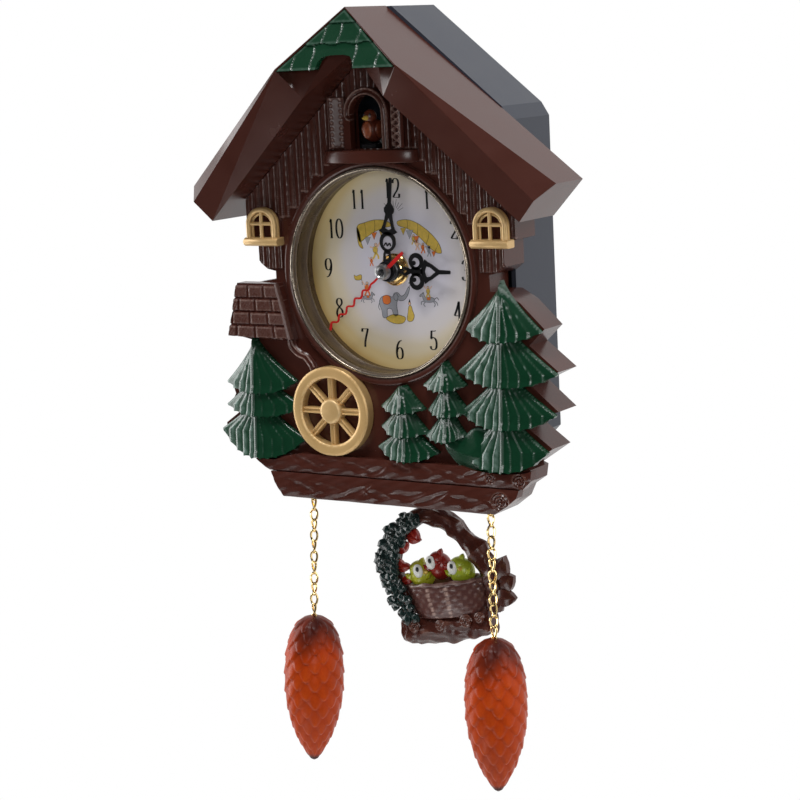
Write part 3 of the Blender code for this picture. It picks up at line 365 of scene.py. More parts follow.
class Shape:
    def __init__(self):
        self.points, self.faces, self.wear, self.kinds = [], [], [], []

    def add(self, points, faces, wear=0.0, kind=0, turn=None):
        first = len(self.points)
        if turn is not None:
            points = [tuple(turn @ Vector(p)) for p in points]
        self.points += [tuple(float(c) for c in p) for p in points]
        self.faces += [tuple(int(i) + first for i in f) for f in faces]
        self.wear += [wear] * len(points) if isinstance(wear, (int, float)) else list(wear)
        self.kinds += [kind] * len(faces)
        return self

    def carve(self, outline, front, rear, height, cell=0.8, holes=(), kind=0, turn=None):
        """A plate whose face, at y = front, stands out by height(x, z), over a flat back.

        height returns the rise and the mark of wear and painted light at each point.
        """
        loops = [spread_along(outline, cell)] + [spread_along(h, cell) for h in holes]
        xs = [p[0] for p in loops[0]]
        zs = [p[1] for p in loops[0]]
        gx, gz = np.meshgrid(np.arange(min(xs), max(xs), cell),
                             np.arange(min(zs), max(zs), cell * 0.87))
        gx = gx + (np.arange(gx.shape[0]) % 2)[:, None] * cell * 0.5
        gx, gz = gx.ravel(), gz.ravel()
        keep = within(gx, gz, loops[0]) & (away_from(gx, gz, loops[0]) > cell * 0.45)
        for hole in loops[1:]:
            keep &= ~within(gx, gz, hole) & (away_from(gx, gz, hole) > cell * 0.45)
        spots, faces = flat_mesh(loops, zip(gx[keep], gz[keep]))
        rise, wear = height(spots[:, 0], spots[:, 1])
        rise = np.broadcast_to(rise, len(spots))
        wear = np.broadcast_to(wear, len(spots))
        face = [(x, front - h, z) for (x, z), h in zip(spots, rise)]
        self.add(face, faces, list(wear), kind, turn)
        sides = {}
        for a, b, c in faces:
            for edge in ((a, b), (b, c), (c, a)):
                if edge[::-1] in sides:
                    del sides[edge[::-1]]
                else:
                    sides[edge] = True
        wall, quads, places = [], [], {}
        for a, b in sides:
            for i in (a, b):
                if i not in places:
                    places[i] = len(wall)
                    wall += [face[i], (spots[i][0], rear, spots[i][1])]
            quads.append((places[a], places[a] + 1, places[b] + 1, places[b]))
        self.add(wall, quads, 0.0, kind, turn)
        spots, faces = flat_mesh(loops)
        return self.add([(x, rear, z) for x, z in spots], faces[:, ::-1], 0.0, kind, turn)

    def slab(self, outline, front, rear, holes=(), kind=0, wear=0.0, turn=None):
        """A plate of even thickness between two planes of y."""
        spots, faces = flat_mesh([list(outline)] + [list(h) for h in holes])
        self.add([(x, front, z) for x, z in spots], faces, wear, kind, turn)
        self.add([(x, rear, z) for x, z in spots], faces[:, ::-1], wear, kind, turn)
        for loop in [outline] + list(holes):
            n = len(loop)
            wall = [(x, y, z) for x, z in loop for y in (front, rear)]
            self.add(wall, [(2 * k, 2 * k + 1, (2 * k + 3) % (2 * n), (2 * k + 2) % (2 * n))
                            for k in range(n)], wear, kind, turn)
        return self

    def turned(self, profile, centre=(0, 0, 0), axis="Y", steps=48, wear=None, kind=0,
               flatten=(1, 1, 1), turn=None):
        """(radius, position) pairs turned about an axis through the centre."""
        points, wear_and_light_marks = [], []
        for k, (radius, along) in enumerate(profile):
            for j in range(steps):
                a = 2 * pi * j / steps
                u, v = radius * cos(a), radius * sin(a)
                p = {"Y": (u, along, v), "Z": (u, v, along), "X": (along, u, v)}[axis]
                points.append([c + q * f for c, q, f in zip(centre, p, flatten)])
                wear_and_light_marks.append(wear[k] if wear else 0.0)
        faces = []
        for k in range(len(profile) - 1):
            for j in range(steps):
                i = (j + 1) % steps
                faces.append((k * steps + j, k * steps + i, (k + 1) * steps + i,
                              (k + 1) * steps + j))
        if profile[0] != profile[-1]:
            faces += [tuple(range(steps))[::-1],
                      tuple((len(profile) - 1) * steps + j for j in range(steps))]
        return self.add(points, faces, wear_and_light_marks, kind, turn)

    def tube(self, path, radius, sides=10, closed=False, wear=0.0, kind=0, turn=None,
             section=(1.0, 1.0)):
        """A tube along the path; radius is a number or one for each point."""
        path = [Vector(p) for p in path]
        count = len(path)
        radii = [radius] * count if isinstance(radius, (int, float)) else list(radius)
        ahead = [(path[(k + 1) % count] - path[k - 1]) if closed
                 else (path[min(k + 1, count - 1)] - path[max(k - 1, 0)]) for k in range(count)]
        ahead = [a.normalized() for a in ahead]
        lead = Vector((0, 1, 0)) if abs(ahead[0].y) < 0.9 else Vector((0, 0, 1))
        points = []
        for centre, direction, r in zip(path, ahead, radii):
            lead = (lead - direction * lead.dot(direction)).normalized()
            other = direction.cross(lead)
            for j in range(sides):
                a = 2 * pi * j / sides
                points.append(centre + (lead * cos(a) * section[0]
                                        + other * sin(a) * section[1]) * r)
        faces = []
        for k in range(count if closed else count - 1):
            n = (k + 1) % count
            for j in range(sides):
                i = (j + 1) % sides
                faces.append((k * sides + j, n * sides + j, n * sides + i, k * sides + i))
        if not closed:
            end = (count - 1) * sides
            faces += [tuple(range(sides)), tuple(range(end, end + sides))[::-1]]
        wear_and_light_marks = wear if isinstance(wear, (int, float)) else [w for w in wear for _ in range(sides)]
        return self.add(points, faces, wear_and_light_marks, kind, turn)

    def stroke(self, path, width, front, rear, kind=0, wear=0.0, closed=False, turn=None):
        """A flat band along a path in x and z; width is a number or one for each point."""
        path = [Vector(p) for p in path]
        count = len(path)
        widths = [width] * count if isinstance(width, (int, float)) else list(width)
        left, right = [], []
        for k, p in enumerate(path):
            if closed:
                way = path[(k + 1) % count] - path[k - 1]
            else:
                way = path[min(k + 1, count - 1)] - path[max(k - 1, 0)]
            side = Vector((-way.y, way.x)).normalized() * widths[k] / 2
            left.append(p + side)
            right.append(p - side)
        points = [(q.x, y, q.y) for a, b in zip(left, right) for q, y in
                  ((a, front), (b, front), (b, rear), (a, rear))]
        faces = []
        for k in range(count if closed else count - 1):
            n = (k + 1) % count
            faces += [tuple((s * 4 + j) for s, j in ((k, j), (k, (j + 1) % 4),
                                                     (n, (j + 1) % 4), (n, j)))
                      for j in range(4)]
        if not closed:
            faces += [(3, 2, 1, 0), tuple((count - 1) * 4 + j for j in range(4))]
        return self.add(points, faces, wear, kind, turn)

    def ball(self, centre, radii, steps=20, rings=12, kind=0, wear=0.0, turn=None):
        profile = [(sin(pi * k / rings), -cos(pi * k / rings)) for k in range(rings + 1)]
        profile[0] = (1e-4, -1.0)
        profile[-1] = (1e-4, 1.0)
        return self.turned(profile, centre, "Z", steps, [wear] * (rings + 1), kind, radii, turn)

    def make(self, name, slots, body, *nodes, angle=38.0, weld=0.002):
        """Turns the shape into an object that rides on a body and stands for CAD nodes."""
        slots = [slots] if isinstance(slots, str) else slots
        mesh = bpy.data.meshes.new(name)
        mesh.from_pydata([(x * MM, y * MM, z * MM) for x, y, z in self.points], [], self.faces)
        mesh.attributes.new("wear", "FLOAT", "POINT").data.foreach_set("value", self.wear)
        for slot in slots:
            mesh.materials.append(FINISH[slot])
        mesh.polygons.foreach_set("material_index", self.kinds)
        bm = bmesh.new()
        bm.from_mesh(mesh)
        bmesh.ops.remove_doubles(bm, verts=bm.verts, dist=weld * MM)
        bmesh.ops.recalc_face_normals(bm, faces=bm.faces)
        bm.to_mesh(mesh)
        bm.free()
        return place_piece(name, mesh, body, nodes, angle)


def place_piece(name, mesh, body, nodes=(), angle=38.0):
    mesh.shade_smooth()
    mesh.set_sharp_from_angle(angle=radians(angle))
    piece = bpy.data.objects.new(name, mesh)
    scene.collection.objects.link(piece)
    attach(piece, body)
    if nodes:
        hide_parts(*nodes)
    return piece

# %% [markdown]
# ## Pieces that keep their solid shape
# Some solids already have the right shape. Every solid gets its finish, and the shells with
# edges that show are shown by a copy with small rounded edges. The roof's copy stays sharp.

# %%
for node, thing in frame["nodes"].items():
    slot = {s["node"]: s["material_slot"] for s in frame["record"]["subparts"]}.get(node, "brown")
    thing.data.materials.clear()
    thing.data.materials.append(FINISH[slot])


def softened(name, node, slot, body, width, segments=2):
    """A copy of a solid with its edges rounded, or left sharp when width is 0."""
    bm = bmesh.new()
    bm.from_mesh(frame["nodes"][node].data)
    bmesh.ops.remove_doubles(bm, verts=bm.verts, dist=1e-6)
    if width:
        bmesh.ops.dissolve_limit(bm, angle_limit=radians(0.6), verts=bm.verts, edges=bm.edges)
        sharp = [e for e in bm.edges if e.is_manifold and e.calc_face_angle() > radians(30)]
        bmesh.ops.bevel(bm, geom=sharp, offset=width * MM, segments=segments, affect="EDGES",
                        profile=0.6, clamp_overlap=True)
        bmesh.ops.triangulate(bm, faces=[f for f in bm.faces if len(f.verts) > 4])
    mesh = bpy.data.meshes.new(name)
    bm.to_mesh(mesh)
    bm.free()
    mesh.materials.append(FINISH[slot])
    piece = place_piece(name, mesh, body, (node,), 20.0)
    if width:
        mesh.shade_flat()
    return piece


softened("roof_shell", "roof", "brown", "case", 0)
softened("housing_shell", "rear_housing", "slate", "case", 0.8, 3)
softened("battery_lid", "battery_door", "slate", "battery_door", 0.4)
softened("movement_shell", "movement_case", "black", "case", 0.5)
softened("movement_lid", "movement_cover", "black", "case", 0.5)
print("rounded copies made")

# %% [markdown]
# ## The front case
# Vertical planks cover the wall; their pale edges are partly rubbed paint and partly painted
# highlight, brighter on the left edges. Their lower ends step down beside the dial. A smooth
# collar runs round the dial's opening, and the doorway has a moulded arch.

# %%
WALL_HALF, NECK_HALF = 77.5, 62.0
SOFFIT_APEX_Z, SOFFIT_SLOPE = 107.1, 0.9148
COLLAR_HOLE, COLLAR_R = 52.2, 55.8
SILL_Z, SPRING_Z, DOORWAY_HALF = 60.5, 77.5, 9.0
GAP = 0.3
SKIN = 2.4
PLANK = 3.65
EAVE_Z = SOFFIT_APEX_Z - SOFFIT_SLOPE * WALL_HALF - GAP

RIGHT_SIDE = [(62, -115), (70, -109), (73, -103), (79, -99), (80, -93), (77.5, -92), (92.4, -82),
              (76, -70), (96.3, -64), (82, -52), (97.2, -45), (82, -33), (90.5, -25), (78, -13),
              (69.5, -8), (NECK_HALF, -8), (NECK_HALF, 0), (67, 1), (71, 4), (71, 15.5),
              (WALL_HALF, 17), (WALL_HALF, EAVE_Z)]
LEFT_SIDE = [(-WALL_HALF, EAVE_Z), (-WALL_HALF, 17), (-71, 15.5), (-71, 4),
             (-67, 1), (-NECK_HALF, 0), (-NECK_HALF, -4), (-80.5, -7), (-86.5, -34),
             (-77, -36), (-89, -51), (-94, -58), (-92, -64), (-95, -69), (-91, -74),
             (-99, -79.5), (-99, -83), (-94, -83), (-91, -89), (-85, -94), (-84.5, -94),
             (-77, -99), (-69, -102), (-62, -115)]
CASE_OUTLINE = RIGHT_SIDE + [(0, SOFFIT_APEX_Z - GAP)] + LEFT_SIDE


def doorway(grow=0.0, steps=16):
    half = DOORWAY_HALF + grow
    arch = [(half * cos(pi * k / steps), SPRING_Z + half * sin(pi * k / steps))
            for k in range(steps + 1)]
    return [(-half, SILL_Z), (half, SILL_Z)] + arch


def plank_foot(x):
    """Height at which the planks end, in steps that follow the dial."""
    steps = ((26, 58.5), (30, 53), (37.5, 47.5), (45, 38.5), (52, 30), (57, 25.5))
    foot = np.full(len(x), 17.2)
    for half, level in reversed(steps):
        foot = np.where(np.abs(x) < half, level, foot)
    return foot


def case_relief(x, z):
    column = np.floor(x / PLANK)
    u = x / PLANK - column
    jitter = np.sin(column * 12.9) * 1.6
    foot = plank_foot((column + 0.5) * PLANK) + np.where(np.abs(x) < 57, jitter, 0)
    bay = (np.abs(x) > 57) & (z < 13.2) & (z > 1.5 + 0.9 * (np.abs(x) > 67) * (np.abs(x) - 67))
    planks = ((z > foot) & (np.abs(x) < 78)) | bay
    crown = 1 - (2 * u - 1) ** 4
    groove = hump(u, 0.16) + hump(u - 1, 0.16)
    split = (hump(u - 0.5 - 0.18 * np.sin(column * 7.3 + z * 0.07), 0.10)
             * (np.sin(column * 3.1) > -0.2))
    rise = np.where(planks, 0.35 + 0.75 * crown - 0.5 * groove - 0.32 * split, 0.0)
    # Pale edge and crack lines: partly rubbed paint, partly painted highlight. The left edges are
    # painted brighter than the right, as if lit from the left, and the lines grow weaker towards
    # the top.
    rub_and_painted_light = 0.9 * hump(u - 0.14, 0.11) + 0.45 * hump(u - 0.86, 0.10) + 0.35 * split
    end = hump(z - foot - 0.5, 0.9)
    low = np.clip((70 - z) / 40, 0.25, 1.0)
    grain = 0.05 * np.sin(z * 1.3 + column * 5) * np.sin(x * 2.1)
    return rise + grain * planks, np.where(planks, np.clip(rub_and_painted_light * low + 0.4 * end, 0, 1), 0.0)


def moved_in(loop, distance):
    """A counter-clockwise outline with each side moved inwards."""
    out = []
    for k, b in enumerate(loop):
        a, b, c = Vector(loop[k - 1]), Vector(b), Vector(loop[(k + 1) % len(loop)])
        n1, n2 = ((q - p).normalized() for p, q in ((a, b), (b, c)))
        n1, n2 = Vector((-n1.y, n1.x)), Vector((-n2.y, n2.x))
        bisector = (n1 + n2).normalized()
        out.append(tuple(b + bisector * distance / max(bisector.dot(n1), 0.4)))
    return out


def walls(shape, outer, inner, front, rear):
    """Side walls between two outlines of the same number of points, with a flat rear rim."""
    n = len(outer)
    points = [(x, y, z) for (x, z), y in
              ([(p, front) for p in outer] + [(p, rear) for p in outer]
               + [(p, rear) for p in inner] + [(p, front) for p in inner])]
    faces = [(r * n + k, r * n + (k + 1) % n, (r + 1) * n + (k + 1) % n, (r + 1) * n + k)
             for r in range(3) for k in range(n)]
    return shape.add(points, faces)


case = Shape()
dial_hole = circle(COLLAR_HOLE, steps=128)
case.carve(CASE_OUTLINE, CASE_FRONT, CASE_FRONT + SKIN, case_relief, 0.62,
           [dial_hole, doorway()])
walls(case, CASE_OUTLINE, moved_in(CASE_OUTLINE, SKIN), CASE_FRONT + SKIN, CASE_BACK)
tube_wall = [(COLLAR_HOLE, CASE_FRONT - 0.6), (COLLAR_HOLE, CASE_BACK),
             (COLLAR_HOLE + SKIN, CASE_BACK), (COLLAR_HOLE + SKIN, CASE_FRONT + 1)]
collar = [(COLLAR_HOLE, CASE_FRONT + 0.5), (COLLAR_HOLE, CASE_FRONT - 1.0),
          (COLLAR_HOLE + 0.5, CASE_FRONT - 1.5), (COLLAR_HOLE + 1.8, CASE_FRONT - 1.9),
          (COLLAR_HOLE + 3.0, CASE_FRONT - 1.5), (COLLAR_R, CASE_FRONT - 0.4),
          (COLLAR_R, CASE_FRONT + 0.5)]
case.turned(tube_wall + [tube_wall[0]], steps=128)
case.turned(collar + [collar[0]], steps=128, wear=[0, 0.35, 0.1, 0, 0, 0.12, 0, 0])


def arch_relief(x, z):
    inward = away_from(x, z, doorway()[1:], closed=False)
    lines = hump(inward - 0.5, 0.55) + hump(inward - 2.9, 0.55)
    return 0.8 * lines - 0.5 * hump(inward - 1.7, 0.8), np.clip(1.1 * lines, 0, 1)


case.carve(doorway(3.6), CASE_FRONT - 5.2, CASE_FRONT, arch_relief, 0.45, [doorway()])
case.make("case_front", "brown", "case", "front_case")
print("front case:", len(case.faces), "faces")

# %% [markdown]
# ## Half-hip tiles
# Two courses of green tiles lean forward at the gable's peak. Upright joints are cut between
# them, and each course's lower edge stands proud. The lips, joints and raking edges carry a
# painted highlight.

# %%
RIDGE_Z, TILE_FOOT_Z, TILE_HALF = 126.9, 99.5, 33.0
RIDGE_Y, TILE_Y = DIAL_FACE - 33.0, DIAL_FACE - 45.0


def tile_relief(x, z):
    top_course = z > 111.2 + 0.5 * np.sin(x * 0.5)
    cap = z > 120.8
    fall = np.where(cap, z - 120.8, np.where(top_course, z - 111.2, z - TILE_FOOT_Z))
    step = 0.9 * np.clip(1 - fall / 9.5, 0, 1)
    joints = np.zeros(len(x))
    for at, low, high in ((-13.5, 98, 111), (10.5, 98, 111), (23.5, 98, 108), (-24, 98, 106),
                          (0.0, 111, 121), (-9, 111, 120), (11, 111, 119)):
        run = (z > low) & (z < high)
        joints = np.maximum(joints, hump(x - at - 0.4 * np.sin(z * 0.6), 0.4) * run)
    lip = hump(fall - 0.6, 0.9)
    rake = hump((RIDGE_Z - z) * TILE_HALF / 27.4 - np.abs(x) - 0.9, 1.0)
    # Painted highlight along the course lips, the joints and the raking edges.
    rub_and_painted_light = 0.22 * lip + 0.20 * joints + 0.25 * rake
    return step - 0.5 * joints - 0.3, np.clip(rub_and_painted_light, 0, 1)


notch = [(-10.5, TILE_FOOT_Z), (-9.6, 103.2), (-7.8, 105.2), (-4, 105.9), (4, 105.9), (7.8, 105.2),
         (9.6, 103.2), (10.5, TILE_FOOT_Z)]
lean = Matrix.Identity(4)
lean[1][2] = (RIDGE_Y - TILE_Y) / (RIDGE_Z - TILE_FOOT_Z)
lean[1][3] = RIDGE_Y - lean[1][2] * RIDGE_Z
tiles = Shape()
tiles.carve([(-TILE_HALF, TILE_FOOT_Z)] + notch + [(TILE_HALF, TILE_FOOT_Z), (0, RIDGE_Z)],
            0.0, 3.0, tile_relief, 0.55, turn=lean)
tiles.make("hip_tiles", "green", "case", "gable_tiles")

# %% [markdown]
# ## Windows, mill, wheel and logs
# The windows have an arched frame, a cross of bars over dark panes, and a rounded sill. The
# mill is laid in staggered bricks. The wheel has grooved spokes. Leaf-shaped gouges and
# spiral knots are carved into the logs.

# %%
RELIEF_BACK = CASE_FRONT - GAP
WINDOW_X, WINDOW_HALF, ARCH_Z, ARCH_RISE = 66.0, 9.2, 24.0, 8.5


def arch_line(half, rise, foot, x, steps=14):
    top = [(x + half * cos(pi * k / steps), ARCH_Z + rise * sin(pi * k / steps))
           for k in range(steps + 1)]
    return [(x + half, foot)] + top + [(x - half, foot)]


for name, side in (("window_left", -1), ("window_right", 1)):
    x = WINDOW_X * side
    window = Shape()
    outer = arch_line(WINDOW_HALF, ARCH_RISE, 17.3, x)
    inner = arch_line(WINDOW_HALF - 2.6, ARCH_RISE - 2.6, 17.3, x)
    window.slab(outer[::-1], RELIEF_BACK - 1.2, RELIEF_BACK, kind=1)
    front = CASE_FRONT - 4.6
    middle = arch_line(WINDOW_HALF - 1.3, ARCH_RISE - 1.3, 17.0, x)
    window.tube([(px, front, pz) for px, pz in middle], 1.3, 12, wear=0.25, section=(1.0, 1.0))
    window.tube([(px, front + 2.2, pz) for px, pz in middle], 1.32, 12)
    inside_arch = arch_line(WINDOW_HALF - 3.4, ARCH_RISE - 3.4, 17.0, x)
    window.tube([(px, front + 0.9, pz) for px, pz in inside_arch], 0.62, 8, wear=0.2)
    window.tube([(x, front + 0.2, 17.0), (x, front + 0.2, 31.0)], 1.0, 10, wear=0.2)
    window.tube([(x - 6.4, front + 0.1, 24.2), (x + 6.4, front + 0.1, 24.2)], 0.95, 10, wear=0.2)
    sill = [(17.4, -57.9), (17.4, -63.3), (16.6, -64.6), (15.2, -65.0), (13.8, -64.6),
            (13.0, -63.3), (13.0, -57.9)]
    points, faces = [], []
    for along, shrink in ((-10.3, 0.25), (-9.9, 0.05), (9.9, 0.05), (10.3, 0.25)):
        points += [(x + along, y + shrink * (y < -58), z + shrink * (15.2 - z)) for z, y in sill]
    for r in range(3):
        faces += [(r * 7 + k, r * 7 + (k + 1) % 7, r * 7 + 7 + (k + 1) % 7, r * 7 + 7 + k)
                  for k in range(7)]
    faces += [tuple(range(7))[::-1], tuple(range(21, 28))]
    window.add(points, faces, 0.15)
    window.make(name + "_frame", ["gold_paint", "brown"], "case", name)

# %%
random.seed(11)
MILL = [(-88.3, -32.5), (-50.3, -34), (-57, -5.5), (-81.3, -5.5)]
COURSE = 6.85


def brick_relief(x, z):
    row = np.floor((-6.2 - z) / COURSE)
    v = (-6.2 - z) / COURSE - row
    shift = np.where(row % 2 == 0, 0.0, 0.5) + 0.13 * np.sin(row * 2.7)
    slant = -69 + (x + 69) / (1 + 0.010 * (-6 - z))
    pitch = 9.3
    brick = np.floor(slant / pitch + shift)
    u = slant / pitch + shift - brick
    gap = np.maximum(hump(u, 0.085) + hump(u - 1, 0.085), hump(v, 0.12) + hump(v - 1, 0.12))
    face = 1.15 + 0.35 * np.sin(brick * 5.1 + row * 3.3) * (u - 0.5) + 0.25 * (0.5 - v)
    pits = 0.16 * np.sin(x * 2.9 + z) * np.sin(z * 3.7 - x * 0.7)
    rim = np.maximum(hump(u - 0.12, 0.07), hump(v - 0.17, 0.09)) * (1 - gap)
    right_rim = np.maximum(hump(u - 0.88, 0.05), hump(v - 0.84, 0.06)) * (1 - gap)
    inside = z < -6.2
    rise = np.where(inside, face * (1 - gap) + pits * (1 - gap), 0.2)
    # Painted highlight along each brick's upper and left edges, fainter along its lower and right
    # ones, and none in the joints.
    rub_and_painted_light = np.clip(0.12 + 0.45 * rim + 0.15 * right_rim - 0.9 * gap, 0, 1)
    return rise, np.where(inside, rub_and_painted_light, 0.1)


mill = Shape()
mill.carve(MILL, CASE_FRONT - 7.2, RELIEF_BACK, brick_relief, 0.45)
board = [(-57, CASE_FRONT - 7.5, -5.6), (-53.6, CASE_FRONT - 7.3, -19),
         (-50.2, CASE_FRONT - 7.1, -33.6)]
mill.tube(board, [1.1, 1.3, 1.5], 8, wear=0.15, section=(1.6, 0.8))
chute = smooth_path([(-53, CASE_FRONT - 2.6, -34), (-51.5, CASE_FRONT - 3.2, -37.5),
                     (-47.5, CASE_FRONT - 3.4, -41), (-43.5, CASE_FRONT - 3.4, -42.5),
                     (-41, CASE_FRONT - 3.2, -45.5), (-39.8, CASE_FRONT - 2.6, -48.3)], 6)
mill.tube(chute, 2.3, 10, section=(0.9, 1.0))
for offset in (-1.25, 1.25):
    lip = [(x + offset * 0.75, y - 1.7, z + offset * 0.65) for x, y, z in chute]
    mill.tube(lip, 0.42, 6, wear=0.85)
mill.make("mill_house", "brown", "case", "mill_roof")

# %%
WHEEL_X, WHEEL_Z, WHEEL_R = -30.0, -69.5, 22.6
WHEEL_FLOOR = -91.7


def wheel_outline(radius, floor=WHEEL_FLOOR, steps=72):
    return [(WHEEL_X + radius * cos(2 * pi * k / steps),
             max(WHEEL_Z + radius * sin(2 * pi * k / steps), floor)) for k in range(steps)]


def rim_relief(x, z):
    r = np.hypot(x - WHEEL_X, z - WHEEL_Z)
    crown = 0.9 * (1 - ((r - 19.8) / 2.8) ** 4)
    return np.clip(crown, -1, 1), 0.75 * hump(r - 17.3, 0.5) + 0.3 * hump(r - 22.3, 0.5)


def spoke_relief(x, z):
    return 0.9 * hump(np.abs(x) - 1.05, 0.75), 0.35 * hump(np.abs(x) - 1.05, 0.5)


wheel = Shape()
wheel.carve(wheel_outline(WHEEL_R), CASE_FRONT - 5.2, RELIEF_BACK, rim_relief, 0.8,
            [circle(WHEEL_R - 5.6, WHEEL_X, WHEEL_Z, 64)])
for k in range(8):
    turn = (Matrix.Translation((WHEEL_X, 0, WHEEL_Z)) @ Matrix.Rotation(pi * k / 4, 4, "Y"))
    wheel.carve([(-1.6, 4.5), (1.6, 4.5), (1.6, 17.6), (-1.6, 17.6)], CASE_FRONT - 3.6,
                CASE_FRONT - 1.0, spoke_relief, 0.5, turn=turn)
wheel.turned([(6.3, RELIEF_BACK), (6.3, CASE_FRONT - 4.9), (5.7, CASE_FRONT - 5.7),
              (4.6, CASE_FRONT - 6.0), (0.01, CASE_FRONT - 6.2)], (WHEEL_X, 0, WHEEL_Z), steps=40,
             wear=[0, 0.2, 0.5, 0.1, 0.1])
wheel.make("mill_wheel", "gold_paint", "case", "water_wheel")

# %%
UPPER_LOG = [(-78, -96.2), (-70, -101.8), (78, -101.8), (83, -97), (83, -92.5), (79.5, -93.6),
             (68, -95), (52, -94.2), (45, -92.4), (-50, -92.1), (-60, -94), (-66, -96.1)]
LOWER_LOG = [(-69, -102.2), (-62, -115), (62, -115), (70, -110), (75, -106), (76, -102.2)]


def log_relief(middle, half, knots, seed, arch=1.6):
    rng = random.Random(seed)
    gouges = []
    x = -66.0
    while x < 52:
        x += rng.uniform(12.0, 20.0)
        z = middle + rng.uniform(-0.40, 0.40) * half
        gouges.append((x, z, rng.uniform(8.0, 13.0), rng.uniform(0.08, 0.38) * rng.choice((-1, 1))))

    def relief(px, pz):
        t = np.clip((pz - middle) / half, -1, 1)
        rise = arch * np.sqrt(np.clip(1 - t * t, 0, 1))
        rise = rise + 0.18 * np.sin(px * 0.21 + pz * 0.9) + 0.10 * np.sin(px * 0.53 - pz * 1.4)
        rub_and_painted_light = np.zeros(len(px))
        for gx, gz, size, lean in gouges:
            a, b = px - gx, pz - gz
            along, across = a * cos(lean) + b * sin(lean), b * cos(lean) - a * sin(lean)
            bend = across - 0.10 * along * along / size
            body = np.clip(1 - (along / size) ** 2, 0, 1)
            leaf = np.clip(1.15 - np.abs(bend) / (1.9 * body + 0.01), 0, 1) ** 0.6 * body
            rise = rise - 0.75 * leaf
            # A faint painted highlight along one edge of each gouge.
            rub_and_painted_light = np.maximum(rub_and_painted_light, 0.12 * hump(bend - 1.7 * body, 0.6) * (body > 0.12))
        for kx, kz, size in knots:
            r = np.hypot((px - kx) * 0.95, pz - kz)
            spiral = np.arctan2(pz - kz, px - kx)
            rings = np.cos(2 * pi * r / 1.5 - spiral)
            near = np.clip(1.15 - r / size, 0, 1) > 0.12
            rise = np.where(near, rise * 0.4 + 0.9 + 0.34 * rings, rise)
            rub_and_painted_light = np.where(near, 0.55 * np.clip(rings, 0, 1) ** 3, rub_and_painted_light)
            rub_and_painted_light = np.maximum(rub_and_painted_light, 0.4 * hump(r - size * 1.04, 0.6))
        return rise, np.clip(rub_and_painted_light, 0, 1)

    return relief


log = Shape()
log.carve(UPPER_LOG, CASE_FRONT - 3.6, RELIEF_BACK,
          log_relief(-97.0, 5.6, [(76.5, -97.6, 3.6), (60.5, -97.4, 2.6)], 5, 1.9), 0.55)
log.make("upper_beam", "bark", "case", "upper_log")
log = Shape()
log.carve(LOWER_LOG, CASE_FRONT - 4.0, RELIEF_BACK,
          log_relief(-108.4, 7.2, [(66.0, -108.3, 4.6)], 9, 2.3), 0.55)
log.make("lower_beam", "bark", "case", "lower_log")
print("windows, mill, wheel and logs made")

# %% [markdown]
# ## Balcony, doors and the bird
# The balcony is a bowed ledge. Both door leaves stand open; the left has two rows of dots and
# the right a ladder of oval cut-outs.

# %%
BALCONY_HALF = 27.0
ledge = Shape()
levels = ((53.8, 0.93), (54.3, 0.985), (55.6, 1.0), (58.6, 0.99), (59.7, 0.96), (60.1, 0.9))
arc = [radians(a) for a in range(-90, 91, 5)]
points = []
for z, share in levels:
    points += [(BALCONY_HALF * sin(a) * (0.55 + 0.45 * share),
                CASE_FRONT - 0.3 - (1.2 + 9.0 * cos(a)) * share, z) for a in arc]
    points += [(BALCONY_HALF * (0.55 + 0.45 * share), RELIEF_BACK, z),
               (-BALCONY_HALF * (0.55 + 0.45 * share), RELIEF_BACK, z)]
n = len(arc) + 2
faces = [(r * n + k, r * n + (k + 1) % n, (r + 1) * n + (k + 1) % n, (r + 1) * n + k)
         for r in range(len(levels) - 1) for k in range(n)]
faces += [tuple(range(n))[::-1], tuple(range((len(levels) - 1) * n, len(levels) * n))]
ledge.add(points, faces, 0.0)
ledge.make("balcony_ledge", "brown", "case", "balcony")


def leaf_relief(kind):
    def relief(x, z):
        inside = np.minimum(np.minimum(x - 0.2, 8.6 - x), np.minimum(z - SILL_Z - 0.8, 85.6 - z))
        frame_line = hump(inside - 0.4, 0.6)
        if kind == "dots":
            v = (z - 62.5) / 2.75
            dot = hump(np.hypot((np.abs(x - 4.4) - 2.3), (v - np.round(v)) * 2.75), 1.0)
            return 0.7 * frame_line + 0.5 * dot, np.clip(0.25 * frame_line + 1.2 * dot, 0, 1)
        v = (z - 62.8) / 3.3
        rung = np.hypot((x - 4.4) / 3.1, (v - np.round(v)) * 3.3 / 1.35)
        ring = hump(rung - 1.0, 0.35)
        return 0.7 * frame_line + 0.5 * ring - 0.7 * (rung < 0.8), np.clip(
            0.35 * frame_line + 1.1 * ring, 0, 1)
    return relief


for name, side, kind in (("door_left", -1, "dots"), ("door_right", 1, "ladder")):
    leaf = Shape()
    turn = (Matrix.Translation(((DOORWAY_HALF + 3.6 + GAP + 1.0) * side, CASE_FRONT - 1.4, 0))
            @ Matrix.Rotation(radians(-28 * side), 4, "Z") @ Matrix.Diagonal((side, 1, 1, 1)))
    leaf.carve([(0, SILL_Z + 0.4), (8.7, SILL_Z + 0.4), (8.7, 85.8), (0, 85.8)], -1.5, 0,
               leaf_relief(kind), 0.4, turn=turn)
    leaf.make(name + "_leaf", "brown", "case", name)

